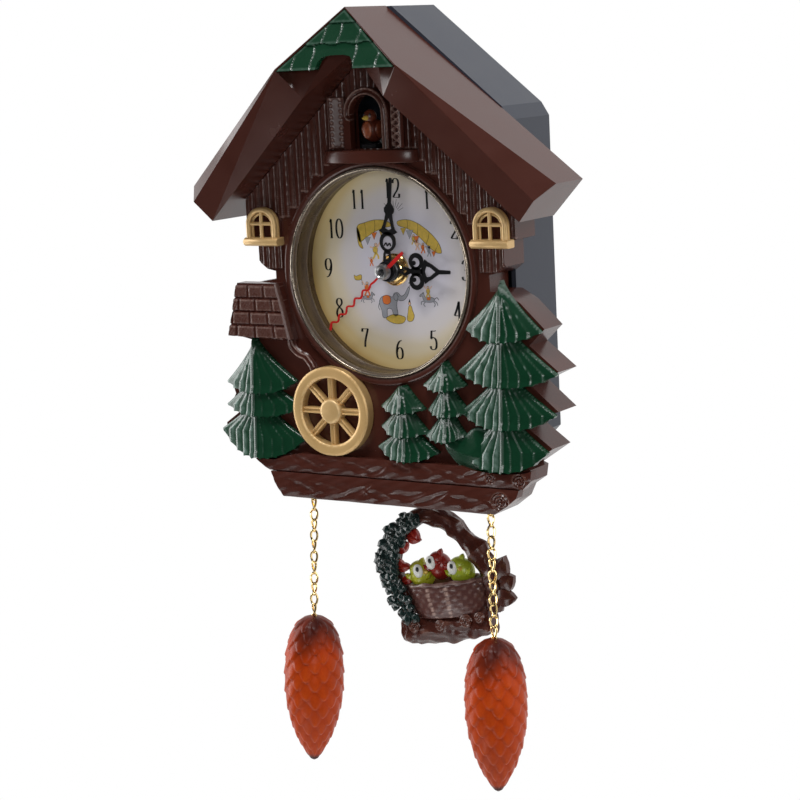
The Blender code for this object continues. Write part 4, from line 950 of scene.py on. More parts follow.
# %%
bird = Shape()
by = CASE_FRONT + 1.5
bird.ball((0, by, 69.2), (4.6, 6.0, 5.8), 24, 14, wear=0.15)
bird.ball((0, by - 2.5, 75.8), (3.3, 3.5, 3.5), 20, 12, wear=0.25)
bird.turned([(1.25, 0), (0.9, -2.2), (0.05, -4.3)], (0, by - 5.3, 75.4), "Y", 12, kind=1)
bird.ball((0, by - 5.5, 69.5), (2.6, 0.9, 4.2), 16, 10, kind=0, wear=0.8)
for side in (-1, 1):
    bird.ball((3.9 * side, by + 0.5, 69.5), (1.5, 4.6, 4.4), 16, 10, wear=0.35)
    bird.ball((1.7 * side, by - 5.2, 76.8), (0.55, 0.5, 0.6), 10, 8, kind=2)
tail = [(-2.1, by + 3, 68.3), (2.1, by + 3, 68.3), (2.1, by + 12, 69.3), (-2.1, by + 12, 69.3)]
bird.add(tail + [(x, y, z + 1.9) for x, y, z in tail],
         [(0, 3, 2, 1), (4, 5, 6, 7), (0, 1, 5, 4), (1, 2, 6, 5), (2, 3, 7, 6), (3, 0, 4, 7)], 0.2)
bird.make("bird_figure", ["bird", "ochre", "ink"], "bird", "cuckoo_bird")
print("balcony, doors and bird made")

# %% [markdown]
# ## Fir trees
# A fir is a stack of boughs. Each bough fans out from its own point on the trunk, with ribs
# between grooves and a pointed lower edge, and it overhangs the bough below it. Broad pale
# strips of painted sheen cover the left half, as if a lamp shone from the left; thin pale lines
# along the rib edges on the right half are dry-brushed paint and painted highlight.


# %%
def clear_of(point, centre, radius):
    """The point, moved out of a circle where it lies inside."""
    away = Vector(point) - Vector(centre)
    return tuple(Vector(centre) + away * max(1.0, radius / max(away.length, 1e-6)))


def bough(tree, apex, left, right, low, ribs, keep_out=(), bulk=1.0):
    ax, az = apex
    outline = []
    for tip in (left, right):
        outline.append([(ax + (tip[0] - ax) * (k / 10) ** 1.35, az + (tip[1] - az) * k / 10)
                        for k in range(11)])
    fringe = []
    count = ribs * 12
    for k in range(1, count):
        t = k / count
        level = left[1] + (right[1] - left[1]) * t
        belly = (low - level) * (1 - abs(2 * t - 1) ** 2.4)
        tooth = (t * ribs * 2) % 1.0
        tooth = tooth if t > 0.5 else 1 - tooth
        fringe.append((left[0] + (right[0] - left[0]) * t, level + belly - 1.2 * tooth ** 3 + 0.2))
    loop = outline[0] + fringe + outline[1][:0:-1]
    for centre, radius in keep_out:
        loop = [clear_of(p, centre, radius) for p in loop]
    depth = az - low

    def relief(x, z):
        tip_x = np.where(x < ax, ax - left[0], right[0] - ax)
        tip_z = np.where(x < ax, az - left[1], az - right[1])
        down = np.clip((az - z) / depth, 0, 1)
        flare = np.clip((az - z) / tip_z, 0.02, 1.0) ** 1.35
        share = np.clip((x - ax) / (tip_x * flare), -1.05, 1.05)
        across = np.abs(share) ** 0.9 * ribs
        u = across - np.floor(across)
        blade = np.clip(down * 2.0, 0.1, 1) * (0.45 * u ** 1.5 * (1 - hump(u - 1, 0.08)))
        body = (2.2 + 5.6 * bulk * (0.40 + 0.60 * down ** 0.8)
                * np.clip(1 - np.abs(share) ** 1.7, 0, 1))
        rise = body + blade + 0.8 * hump(x - ax, 1.2) + 0.7 * hump(z - low, 4.0)
        patch = 0.5 + 0.5 * np.sin(x * 0.7 + z * 0.5) * np.sin(z * 0.4 - x * 0.25 + ribs)
        # Thin pale lines along the rib edges on the right half: dry-brushed paint and painted
        # highlight.
        edge = hump(u - 0.9, 0.055) * (0.05 + 0.95 * patch ** 2) * (share > -0.1)
        # Painted sheen: broad pale strips on the left half of each bough.
        painted_sheen = (share < -0.08) * np.clip(u * 1.8 - 0.35, 0, 1) * (0.25 + 0.75 * patch) * 0.75
        rub_and_painted_light = (0.6 * edge + painted_sheen + 0.2 * hump(x - ax - 0.3, 0.4)) * np.clip(down * 3, 0.2, 1)
        return rise, np.clip(rub_and_painted_light + 0.25 * hump(np.abs(share) - 1.0, 0.05), 0, 1)

    tree.carve(loop, RELIEF_BACK, RELIEF_BACK, relief, 0.6)


DIAL_CLEAR = ((0.0, 0.0), COLLAR_R + GAP)
WHEEL_CLEAR = ((WHEEL_X, WHEEL_Z), WHEEL_R + GAP)
FIRS = {
    "fir_left": (((-76, -33), (-95, -57), (-51.5, -55.5), -62, 4),
                 ((-76.5, -50), (-96, -69), (-49, -67.5), -74, 4),
                 ((-76.5, -63), (-100, -82), (-48, -85), -95.5, 5)),
    "fir_small": (((12, -51), (-1, -65), (24, -66), -68, 3),
                  ((12.5, -60), (-1.5, -75), (25.5, -77.5), -80, 3),
                  ((13, -71), (-4, -85.5), (31, -87), -92, 4)),
    "fir_slim": (((37, -40), (24, -53.5), (48, -53), -56, 3),
                 ((37, -49), (26, -65.5), (49, -66), -68.5, 3),
                 ((37, -61), (24, -78.5), (46.5, -77.5), -81, 3)),
    "fir_right": (((70, -2), (48.5, -25), (90, -26), -31, 4),
                  ((69.5, -20), (44, -46), (97.5, -46), -52.5, 5),
                  ((69, -42), (44, -66), (96, -65.5), -73, 5),
                  ((68.5, -62), (44, -86), (91, -83.5), -93.6, 4)),
}
for name, boughs in FIRS.items():
    tree = Shape()
    keep_out = [DIAL_CLEAR] + ([WHEEL_CLEAR] if name == "fir_left" else [])
    for level, (apex, left, right, low, ribs) in enumerate(boughs):
        bough(tree, apex, left, right, low, ribs, keep_out,
              bulk=1.0 - 0.06 * level if len(boughs) > 3 else 0.85 - 0.05 * level)
    if name == "fir_right":
        lobe = smooth_path([(60, -76), (52, -73.5), (45, -78), (34.5, -82), (38, -89), (45, -94.5),
                            (55, -96.5), (64, -94.5), (66, -86)], 5, closed=True)

        def lobe_relief(x, z):
            inward = away_from(x, z, lobe)
            return 1.8 + 3.2 * np.clip(inward / 9, 0, 1) ** 0.7, 0.55 * hump(inward - 0.5, 0.8)

        tree.carve(lobe[::-1], RELIEF_BACK, RELIEF_BACK, lobe_relief, 0.8)
    tree.make(name + "_boughs", "green", "case", name)
print("firs made")

# %% [markdown]
# ## Dial
# The printed disc runs from a cream rim to a pale lilac centre. The numerals are drawn with a
# broad pen: upright strokes are thick and level strokes are thin. Round the centre are an
# awning with bunting, an elephant, two ponies and a flag.

# %%
DIAL_R, BEZEL_R = 49.5, 51.9

bezel = Shape()
front = CASE_FRONT - 2.4
section = [(DIAL_R + 0.3, DIAL_FACE - 0.3), (DIAL_R + 0.15, DIAL_FACE - 1.2),
           (DIAL_R + 0.25, DIAL_FACE - 4.2), (DIAL_R - 0.15, DIAL_FACE - 4.7),
           (DIAL_R - 0.15, DIAL_FACE - 5.4), (DIAL_R + 0.25, DIAL_FACE - 5.9),
           (DIAL_R + 0.45, front + 3.4), (DIAL_R + 0.15, front + 3.0),
           (DIAL_R + 0.30, front + 2.3), (DIAL_R + 0.65, front + 1.8),
           (DIAL_R + 0.65, front + 1.3), (DIAL_R + 0.55, front + 0.8), (DIAL_R + 0.85, front + 0.2),
           (DIAL_R + 1.3, front), (BEZEL_R - 0.6, front + 0.05), (BEZEL_R - 0.1, front + 0.5),
           (BEZEL_R, front + 1.0), (BEZEL_R, DIAL_FACE - 0.3)]
# Paler bronze on the inner ridges and the front rim: partly the rim's own gold edge, partly painted
# highlight.
wear_and_light_marks = [0.0, 0, 0, 0.5, 0.5, 0, 0, 0.8, 0.4, 0, 0, 0.4, 0.7, 1, 1, 0.7, 0, 0]
bezel.turned(section + [section[0]], steps=160, wear=wear_and_light_marks + [0])
bezel.make("dial_ring", "bronze", "case", "dial_bezel", angle=50)

tree = FINISH["paper"].node_tree
shader = tree.nodes["Principled BSDF"]
coords = tree.nodes.new("ShaderNodeTexCoord")
cut_up = tree.nodes.new("ShaderNodeSeparateXYZ")
tree.links.new(coords.outputs["Object"], cut_up.inputs[0])


def sum_node(operation, a, b):
    node = tree.nodes.new("ShaderNodeMath")
    node.operation = operation
    for socket, value in zip(node.inputs, (a, b)):
        if isinstance(value, (int, float)):
            socket.default_value = value
        else:
            tree.links.new(value, socket)
    return node.outputs[0]


# The rim colour is stronger towards the lower left, so the gradient's centre is offset.
off_x = sum_node("ADD", cut_up.outputs["X"], -0.006)
off_z = sum_node("ADD", cut_up.outputs["Z"], -0.004)
square = sum_node("ADD", sum_node("MULTIPLY", off_x, off_x), sum_node("MULTIPLY", off_z, off_z))
reach = sum_node("POWER", square, 0.5)
cloud = tree.nodes.new("ShaderNodeTexNoise")
cloud.inputs["Scale"].default_value = 40.0
tree.links.new(coords.outputs["Object"], cloud.inputs["Vector"])
wobble = sum_node("MULTIPLY_ADD", cloud.outputs["Fac"], 0.006)
wobble.node.inputs[2].default_value = -0.003
share = sum_node("ADD", reach, wobble)
ramp = tree.nodes.new("ShaderNodeValToRGB")
scaled = sum_node("MULTIPLY", share, 1 / 0.0575)
tree.links.new(scaled, ramp.inputs[0])
ramp.color_ramp.interpolation = "EASE"
ramp.color_ramp.elements[0].position = 0.36
ramp.color_ramp.elements[0].color = (0.66, 0.64, 0.72, 1)
ramp.color_ramp.elements[1].position = 1.0
ramp.color_ramp.elements[1].color = (0.50, 0.33, 0.11, 1)
for position, colour in ((0.60, (0.68, 0.64, 0.64, 1)), (0.76, (0.72, 0.63, 0.46, 1)),
                         (0.88, (0.66, 0.52, 0.26, 1))):
    ramp.color_ramp.elements.new(position).color = colour
tree.links.new(ramp.outputs[0], shader.inputs["Base Color"])

# %%
DIGITS = {
    "0": [([(0.5, 1.0), (0.14, 0.86), (0.0, 0.5), (0.14, 0.14), (0.5, 0.0), (0.86, 0.14),
            (1.0, 0.5), (0.86, 0.86)], True)],
    "1": [([(0.5, 0.98), (0.5, 0.0)], False), ([(0.12, 0.84), (0.32, 0.88), (0.5, 0.99)], False),
          ([(0.16, 0.012), (0.84, 0.012)], False)],
    "2": [([(0.06, 0.76), (0.14, 0.93), (0.5, 1.0), (0.86, 0.90), (0.92, 0.68), (0.72, 0.42),
            (0.30, 0.20), (0.04, 0.03)], False), ([(0.03, 0.035), (0.60, 0.035), (0.94, 0.03),
                                                   (1.0, 0.22)], False)],
    "3": [([(0.08, 0.82), (0.22, 0.96), (0.5, 1.0), (0.84, 0.90), (0.86, 0.68), (0.66, 0.55),
            (0.40, 0.52)], False),
          ([(0.40, 0.52), (0.76, 0.50), (0.96, 0.32), (0.86, 0.10), (0.50, 0.0), (0.14, 0.04),
            (0.03, 0.18)], False)],
    "4": [([(0.72, 1.0), (0.40, 0.62), (0.0, 0.27)], False), ([(0.0, 0.27), (1.0, 0.27)], False),
          ([(0.72, 1.0), (0.72, 0.0)], False), ([(0.50, 0.012), (0.94, 0.012)], False)],
    "5": [([(0.26, 0.98), (0.60, 0.96), (0.92, 0.99)], False),
          ([(0.26, 0.98), (0.16, 0.56)], False),
          ([(0.16, 0.56), (0.46, 0.64), (0.84, 0.54), (0.96, 0.32), (0.84, 0.08), (0.46, 0.0),
            (0.12, 0.05), (0.03, 0.18)], False)],
    "6": [([(0.88, 0.97), (0.50, 0.90), (0.16, 0.66), (0.04, 0.34), (0.16, 0.07), (0.50, 0.0),
            (0.86, 0.08), (0.97, 0.30), (0.86, 0.52), (0.52, 0.60), (0.18, 0.50), (0.07, 0.36)],
           False)],
    "7": [([(0.03, 0.80), (0.08, 0.97)], False),
          ([(0.06, 0.965), (0.55, 0.95), (0.98, 0.97)], False),
          ([(0.98, 0.97), (0.66, 0.58), (0.46, 0.28), (0.40, 0.0)], False)],
    "8": [([(0.5, 1.0), (0.16, 0.92), (0.10, 0.74), (0.42, 0.56), (0.84, 0.40), (0.97, 0.22),
            (0.84, 0.05), (0.5, 0.0), (0.16, 0.05), (0.03, 0.22), (0.18, 0.42), (0.56, 0.57),
            (0.88, 0.74), (0.84, 0.92)], True)],
}
DIGITS["9"] = [([(1 - x, 1 - z) for x, z in DIGITS["6"][0][0]], False)]
INK_TOP = DIAL_FACE - 0.07
NUMERAL_HEIGHT, NUMERAL_WIDTH, NUMERAL_RING = 9.6, 3.7, 40.0


def pen(shape, path, closed, thick, thin, front, kind=0, rear=DIAL_FACE + 0.02):
    """A broad-pen stroke: its width grows with how upright it runs."""
    path = smooth_path(path, 7, closed) if len(path) > 2 else spread_along(path, 0.6, False)
    n = len(path)
    widths = []
    for k in range(n):
        a, b = path[k - 1 if closed or k else 0], path[(k + 1) % n if closed or k < n - 1 else k]
        way = (Vector(b) - Vector(a)).normalized()
        widths.append(thin + (thick - thin) * abs(way.y) ** 1.6)
    shape.stroke(path, widths, front, rear, kind, closed=closed)


numerals = Shape()
for hour in range(1, 13):
    angle = radians(30 * hour)
    cx, cz = NUMERAL_RING * sin(angle), NUMERAL_RING * cos(angle)
    text = str(hour)
    advance = NUMERAL_WIDTH + 1.15
    for place_in, digit in enumerate(text):
        narrow = 0.62 if digit == "1" else 1.0
        start = cx - (len(text) * advance - 1.15) / 2 + place_in * advance
        if digit == "1":
            start += NUMERAL_WIDTH * 0.19
        for path, closed in DIGITS[digit]:
            moved = [(start + px * NUMERAL_WIDTH * narrow, cz + (pz - 0.5) * NUMERAL_HEIGHT)
                     for px, pz in path]
            pen(numerals, moved, closed, 1.15, 0.34, INK_TOP)
disc = Shape()
disc.slab(circle(BEZEL_R, steps=96), DIAL_FACE, DIAL_FACE + 1.5, [circle(2.9, steps=24)])
print(len(numerals.faces), "numeral faces")

# %% [markdown]
# The printed figures are flat shapes with a fine ink outline, 0.07 mm thick.

# %%
INK, OCHRE, ORANGE, GREY, FLESH = range(5)
PRINT_SLOTS = ["black", "ochre", "orange", "grey", "flesh"]
art = Shape()


def patch(points, kind, outline=0.22, smooth=5, layer=0):
    loop = smooth_path(points, smooth, closed=True) if smooth else points
    top = DIAL_FACE - 0.04 - 0.015 * layer
    art.slab(loop, top, DIAL_FACE + 0.02, kind=kind)
    if outline:
        art.stroke(loop, outline, top - 0.02, DIAL_FACE + 0.02, INK, closed=True)


def line(points, width=0.22, kind=INK, layer=1, smooth=4):
    path = smooth_path(points, smooth) if len(points) > 2 and smooth else points
    art.stroke(path, width, DIAL_FACE - 0.05 - 0.015 * layer, DIAL_FACE + 0.02, kind)


def awning(points, flags):
    """A swag of canvas with seams, and a string of flags under it."""
    upper, lower = points
    patch(upper + lower[::-1], OCHRE, 0.2, 4)
    for (ax, az), (bx, bz) in zip(upper[1:-1], lower[1:-1]):
        line([(ax, az), ((ax + bx) / 2 + 0.3, (az + bz) / 2), (bx, bz)], 0.16)
    for x, z, size, kind in flags:
        patch([(x - size * 0.45, z), (x + size * 0.5, z + 0.3), (x - size * 0.05, z - size)],
              kind, 0.16, 0, layer=2)


awning(([(-21.5, 21.0), (-17.0, 23.0), (-11.0, 24.4), (-5.0, 24.2), (-1.5, 22.5)],
        [(-20.5, 13.6), (-16.5, 15.6), (-11.5, 18.4), (-5.5, 20.6), (-2.0, 21.2)]),
       ((-15.6, 15.6, 3.6, GREY), (-11.6, 18.0, 3.4, ORANGE), (-7.4, 19.8, 3.2, OCHRE)))
patch([(-21.8, 20.5), (-20.2, 18), (-19.6, 13.5), (-18.6, 10.2), (-20.8, 11.4), (-21.6, 15)], OCHRE,
      0.2, 4)
awning(([(2.5, 23.8), (8.0, 24.6), (14.0, 22.8), (20.5, 18.6), (25.5, 13.4), (27.0, 9.4)],
        [(3.0, 21.6), (8.0, 20.2), (13.5, 17.0), (18.5, 12.6), (23.0, 9.0), (26.4, 8.2)]),
       ((5.6, 20.4, 3.4, OCHRE), (9.2, 19.2, 4.2, GREY), (13.0, 16.4, 3.4, ORANGE),
        (19.4, 11.6, 3.0, GREY), (22.6, 9.0, 2.6, ORANGE)))
for k in range(9):
    a = radians(-62 + 15.5 * k)
    line([(0.5 + 3.2 * sin(a), 27.5 + 3.2 * cos(a)), (0.5 + (6.4 + k % 2) * sin(a),
                                                   27.5 + (6.4 + k % 2) * cos(a))], 0.18)


def figure(x, z, size, coat, lean=0.0, arms=(0.6, -0.5)):
    """A small standing acrobat."""
    for side in (-1, 1):
        line([(x, z + size * 0.42), (x + side * size * 0.12 + lean, z + size * 0.2),
              (x + side * size * 0.20, z)], size * 0.12, kind=coat)
    patch([(x - size * 0.13, z + size * 0.40), (x + size * 0.13, z + size * 0.40),
           (x + size * 0.15, z + size * 0.72), (x - size * 0.15, z + size * 0.72)], coat, 0.12, 3)
    for side, lift in zip((-1, 1), arms):
        line([(x + side * size * 0.12, z + size * 0.66),
              (x + side * size * 0.38, z + size * (0.66 + 0.35 * lift))], size * 0.08, kind=FLESH)
    patch(circle(size * 0.11, x + lean, z + size * 0.86, 10), FLESH, 0.12, 0, layer=2)


def pony(x, z, way, size=1.0):
    def at(points):
        return [(x + px * way * size, z + pz * size) for px, pz in points]

    patch(at([(-3.4, 0.6), (-1.5, 1.5), (1.4, 1.3), (2.4, 2.4), (3.0, 3.9), (3.5, 3.4), (5.0, 2.4),
              (5.0, 1.7), (3.7, 1.9), (3.1, 0.2), (1.8, -0.9), (-2.2, -0.8)]), GREY, 0.2, 4)
    for legs in ([(2.4, -0.5), (4.2, -0.8), (4.4, -2.3)], [(1.8, -0.7), (3.0, -2.0), (2.2, -3.2)],
                 [(-2.4, -0.4), (-3.6, -1.8), (-3.0, -3.2)],
                 [(-2.8, -0.1), (-4.6, -1.1), (-5.0, -2.5)]):
        line(at(legs), 0.55 * size, GREY)
        line(at(legs), 0.14 * size, INK, 2)
    line(at([(-3.3, 0.6), (-4.8, 1.4), (-5.8, 0.2)]), 0.3 * size, INK)
    patch(at([(-0.9, 1.6), (0.9, 1.5), (1.0, 0.1), (-0.9, 0.1)]), ORANGE, 0.14, 0, layer=2)


patch([(-10.6, -17.0), (-9.4, -14.2), (-6.0, -13.0), (-2.8, -13.8), (-1.6, -12.0), (0.6, -11.6),
       (2.4, -13.2), (4.4, -12.4), (6.0, -10.0), (7.0, -8.6), (7.6, -9.4), (6.4, -12.6),
       (4.4, -15.0), (2.2, -15.6), (0.4, -15.4), (-0.4, -18.0), (0.0, -22.6), (-2.4, -22.8),
       (-3.4, -20.0), (-6.0, -20.0), (-6.4, -24.0), (-8.8, -24.0), (-9.4, -20.6)], GREY)
patch([(-1.4, -12.4), (0.0, -12.2), (0.6, -14.0), (-0.4, -15.6), (-1.8, -14.6)], GREY, 0.18, 4, 2)
patch([(-8.2, -13.6), (-4.6, -13.2), (-3.8, -16.2), (-5.8, -17.6), (-8.2, -16.8)], ORANGE,
      0.2, 3, 2)
line([(-10.6, -17.0), (-11.2, -19.0), (-10.4, -20.6)], 0.25)
patch(circle(0.18, 1.0, -13.4, 8), INK, 0, 0, 3)
line([(7.2, -8.8), (8.2, -7.4)], 0.25)
for px, pz in ((8.2, -7.2), (8.9, -8.0), (7.6, -6.6)):
    patch(circle(0.42, px, pz, 8), GREY, 0.12, 0, 2)
patch([(-7.0, -24.4), (-3.0, -22.6), (1.0, -22.8), (4.4, -24.0), (3.0, -26.6), (-1.0, -27.2),
       (-5.0, -26.2)], OCHRE, 0.2, 4)
patch([(5.4, -25.2), (6.0, -21.4), (6.6, -18.4), (8.0, -18.0), (8.8, -20.6), (9.6, -23.0),
       (8.2, -25.6)], OCHRE, 0.2, 4)
patch(circle(0.75, 7.2, -16.9, 10), FLESH, 0.16, 0, 2)
patch([(6.6, -16.3), (7.8, -16.3), (7.2, -14.4)], INK, 0, 0, 2)
pony(-17.2, -14.6, 1, 0.80)
figure(-17.6, -13.4, 7.2, ORANGE, 0.3, (1.0, -0.3))
line([(-20.2, -8.2), (-20.6, -3.0)], 0.22)
patch([(-20.6, -3.0), (-23.6, -3.8), (-24.8, -3.2), (-24.4, -5.4), (-22.4, -5.8), (-20.5, -5.2)],
      OCHRE, 0.18, 3, 2)
pony(18.4, -15.0, -1, 1.0)
figure(18.2, -13.8, 6.0, OCHRE, 0.0, (0.9, 0.9))
figure(-11.4, 5.0, 8.2, OCHRE, 0.5, (0.2, 1.1))
figure(-14.0, 1.5, 4.6, ORANGE, 0.0, (0.8, 0.2))
for k, (x, z, coat) in enumerate(((13.2, 9.6, FLESH), (16.4, 8.2, ORANGE), (19.8, 6.6, GREY),
                                  (11.2, 12.4, OCHRE))):
    figure(x, z, 5.2, coat, 0.2, (0.7, -0.2))
art.make("dial_figures", PRINT_SLOTS, "case")
numerals.make("dial_numerals", "black", "case")
disc.make("dial_paper", "paper", "case", "dial_plate")

# %% [markdown]
# ## Hands
# All three are thin and flat, and each turns on its own arbor. The hour hand has two open
# rings and a pierced diamond, the minute hand a loop, a ring and a pierced flare, and the
# second hand is a wavy red wire.

# %%
HOUR_ANGLE, MINUTE_ANGLE, SECOND_ANGLE = 90.5, 6.0, 230.0


def along(angle):
    """Stands a hand drawn upwards at an angle, clockwise from twelve."""
    return Matrix.Rotation(radians(angle), 4, "Y")


def both_sides(right):
    """An outline from its right half, drawn from the foot to the tip."""
    return right + [(-x, z) for x, z in reversed(right) if abs(x) > 1e-6]


hour = Shape()
front, rear = DIAL_FACE - 6.1, DIAL_FACE - 5.5
at = along(HOUR_ANGLE)
hour.turned([(2.6, rear + 0.4), (5.5, rear + 0.4), (5.5, front - 0.5), (2.6, front - 0.5),
             (2.6, rear + 0.4)], steps=40)
hour.slab(both_sides([(1.3, 4.6), (1.2, 7.0), (2.5, 9.6), (1.5, 11.4), (1.1, 12.6), (2.2, 13.6),
                      (2.0, 17.4), (1.0, 18.2), (1.2, 19.4)]), front, rear,
          [[(0.9, 8.6), (0.0, 10.9), (-0.9, 8.6), (0.0, 7.4)]], turn=at)
for side in (-1, 1):
    ring = [(side * (4.7 + 3.2 * cos(radians(a))), 15.6 + 3.2 * sin(radians(a)))
            for a in range(0, 360, 12)]
    hour.stroke(ring, [1.9 - 0.5 * cos(radians(a - 200)) for a in range(0, 360, 12)], front, rear,
                closed=True, turn=at)
    hour.slab(circle(1.15, side * 4.1, 14.2, 14), front, rear, turn=at)
hour.slab(both_sides([(1.0, 18.4), (3.0, 19.4), (6.0, 20.6), (4.7, 22.4), (3.7, 24.6), (2.2, 26.8),
                      (1.1, 28.6), (0.85, 34.7), (0.4, 35.0)]), front, rear,
          [[(2.7, 21.4), (2.2, 23.6), (0.0, 26.6), (-2.2, 23.6), (-2.7, 21.4), (0.0, 20.4)]],
          turn=at)
for radius, y in ((5.2, 7.25), (5.4, 6.72)):
    hour.turned([(3.0, DIAL_FACE - y), (radius, DIAL_FACE - y), (radius, DIAL_FACE - y + 0.25),
                 (3.0, DIAL_FACE - y + 0.25), (3.0, DIAL_FACE - y)], steps=40, kind=1)
hour.make("hour_pointer", ["black", "steel"], "hour_hand", "hour_hand")

minute = Shape()
front, rear = DIAL_FACE - 8.6, DIAL_FACE - 8.0
at = along(MINUTE_ANGLE)
minute.turned([(1.5, rear + 0.4), (5.0, rear + 0.4), (5.0, front - 0.4), (1.5, front - 0.4),
               (1.5, rear + 0.4)], steps=40)
minute.slab(both_sides([(1.2, 4.2), (2.1, 5.4), (2.1, 8.6), (1.5, 10.4)]), front, rear,
            [[(0.95, 6.0), (0.95, 8.6), (-0.95, 8.6), (-0.95, 6.0)]], turn=at)
minute.stroke([(3.75 * cos(a), 14.4 + 4.1 * sin(a)) for a in np.linspace(0, 2 * pi, 32)[:-1]],
              [1.7 + 0.35 * sin(a) for a in np.linspace(0, 2 * pi, 32)[:-1]],
              front, rear, closed=True, turn=at)
minute.stroke(smooth_path([(-1.9, 12.6), (-1.0, 14.0), (0.0, 12.6), (1.0, 14.0), (1.9, 12.6)], 4),
              0.55, front, rear, turn=at)
minute.slab(both_sides([(1.3, 18.0), (3.6, 18.6), (5.3, 19.8), (3.9, 20.8), (3.1, 22.6),
                        (2.3, 25.6), (1.9, 28.2), (2.7, 29.4), (2.8, 31.0), (1.9, 32.4),
                        (0.95, 33.6), (0.8, 45.7), (0.4, 46.0)]), front, rear,
            [[(1.9, 21.2), (1.0, 24.6), (0.0, 26.4), (-1.0, 24.6), (-1.9, 21.2), (0.0, 20.3)]],
            turn=at)
minute.make("minute_pointer", "black", "minute_hand", "minute_hand")

second = Shape()
front, rear = DIAL_FACE - 11.0, DIAL_FACE - 10.5
at = along(SECOND_ANGLE)
wave = [(0.95 * sin(2 * pi * (r - 8) / 6.4) * min((r - 8) / 6, 1.0) if r > 8 else 0.0, r)
        for r in np.arange(2.0, 45.01, 0.5)]
second.stroke(wave, [0.95 if r < 40 else 0.95 + 0.10 * (r - 40) for x, r in wave], front, rear,
              turn=at)
second.slab(both_sides([(0.7, -15.0), (0.95, -13.0), (0.95, -2.0), (0.8, 0.0)])[::-1], front, rear,
            turn=at)
cap = [(0.01, front - 1.9), (1.7, front - 1.8), (1.9, front - 2.6), (2.5, front - 3.1),
       (3.4, front - 2.9), (3.9, front - 2.0), (4.0, front - 0.4), (3.9, rear)]
second.turned(cap, steps=40, kind=1)
second.turned([(0.01, front - 2.5), (0.9, front - 2.4), (1.55, front - 2.0), (1.7, front - 1.5)],
              steps=24, kind=2)
second.make("second_pointer", ["red", "steel", "black"], "second_hand", "second_hand")

cuff = Shape()
cuff.turned([(2.9, DIAL_FACE - 0.3), (8.0, DIAL_FACE - 0.3), (8.0, DIAL_FACE - 1.1),
             (7.4, DIAL_FACE - 1.6), (7.2, DIAL_FACE - 1.4), (6.6, DIAL_FACE - 2.3),
             (6.0, DIAL_FACE - 3.1), (4.8, DIAL_FACE - 3.8), (2.9, DIAL_FACE - 4.0),
             (2.9, DIAL_FACE - 0.3)], steps=48)
cuff.make("cuff_dome", "brass", "case", "cuff_nut")
print("dial print and hands made")

# %% [markdown]
# ## Chains and pine cones
# Each chain is a run of twisted wire links between an eye under the log and the top of a
# cone. The cone's scales are laid in staggered rows, each standing out towards its tip.

# %%
CHAIN_X, CHAIN_Y, CHAIN_TOP_Z, CHAIN_LENGTH = 52.3, -49.8, -118.2, 63.0
LINKS = 11
CONE_PROFILE = [(0.0, 1.6), (-0.6, 4.2), (-1.6, 6.0), (-3.8, 8.6), (-7.5, 10.7), (-13.8, 13.2),
                (-21.0, 14.5), (-31.0, 15.0), (-40.0, 14.8), (-48.0, 13.8), (-56.0, 12.0),
                (-63.0, 9.7), (-69.5, 6.9), (-74.5, 4.2), (-78.0, 2.0), (-79.0, 0.5)]
SCALES_ROUND, SCALE_ROW = 10, 5.0


def cone_point(turn_share, z):
    """Radius and mark at a height z under the cone's top, at a share of a full turn: a painted
    highlight on each scale's middle and painted shade in the crevices.
    """
    levels = [p[0] for p in CONE_PROFILE][::-1]
    radius = float(np.interp(z, levels, [p[1] for p in CONE_PROFILE][::-1]))
    size = min(1.0, radius / 9.0)
    best, rub_and_painted_light = 0.0, 0.0
    row = int(-z / SCALE_ROW)
    for r in range(row - 2, row + 1):
        across = turn_share * SCALES_ROUND + 0.5 * (r % 2)
        across -= round(across)
        down = (-z - r * SCALE_ROW) / (2.35 * SCALE_ROW)
        if not 0 <= down <= 1:
            continue
        half = 0.60 * (1 - down ** 2.2) ** 0.55
        inward = half - abs(across)
        if inward < 0:
            continue
        rise = (0.2 + 0.95 * down ** 1.1) * min(1.0, inward / 0.22) ** 0.6
        rise += 0.55 * (1 - (across / 0.6) ** 2) * down
        if rise > best:
            best = rise
            # Painted highlight on the middle of each scale, painted shade in the crevice along its
            # edge.
            rub_and_painted_light = 0.45 * (1 - abs(across) * 2) * down - 0.22 * max(0.0, 1 - inward / 0.10)
    return radius + (best - 0.5) * size * 0.95, rub_and_painted_light


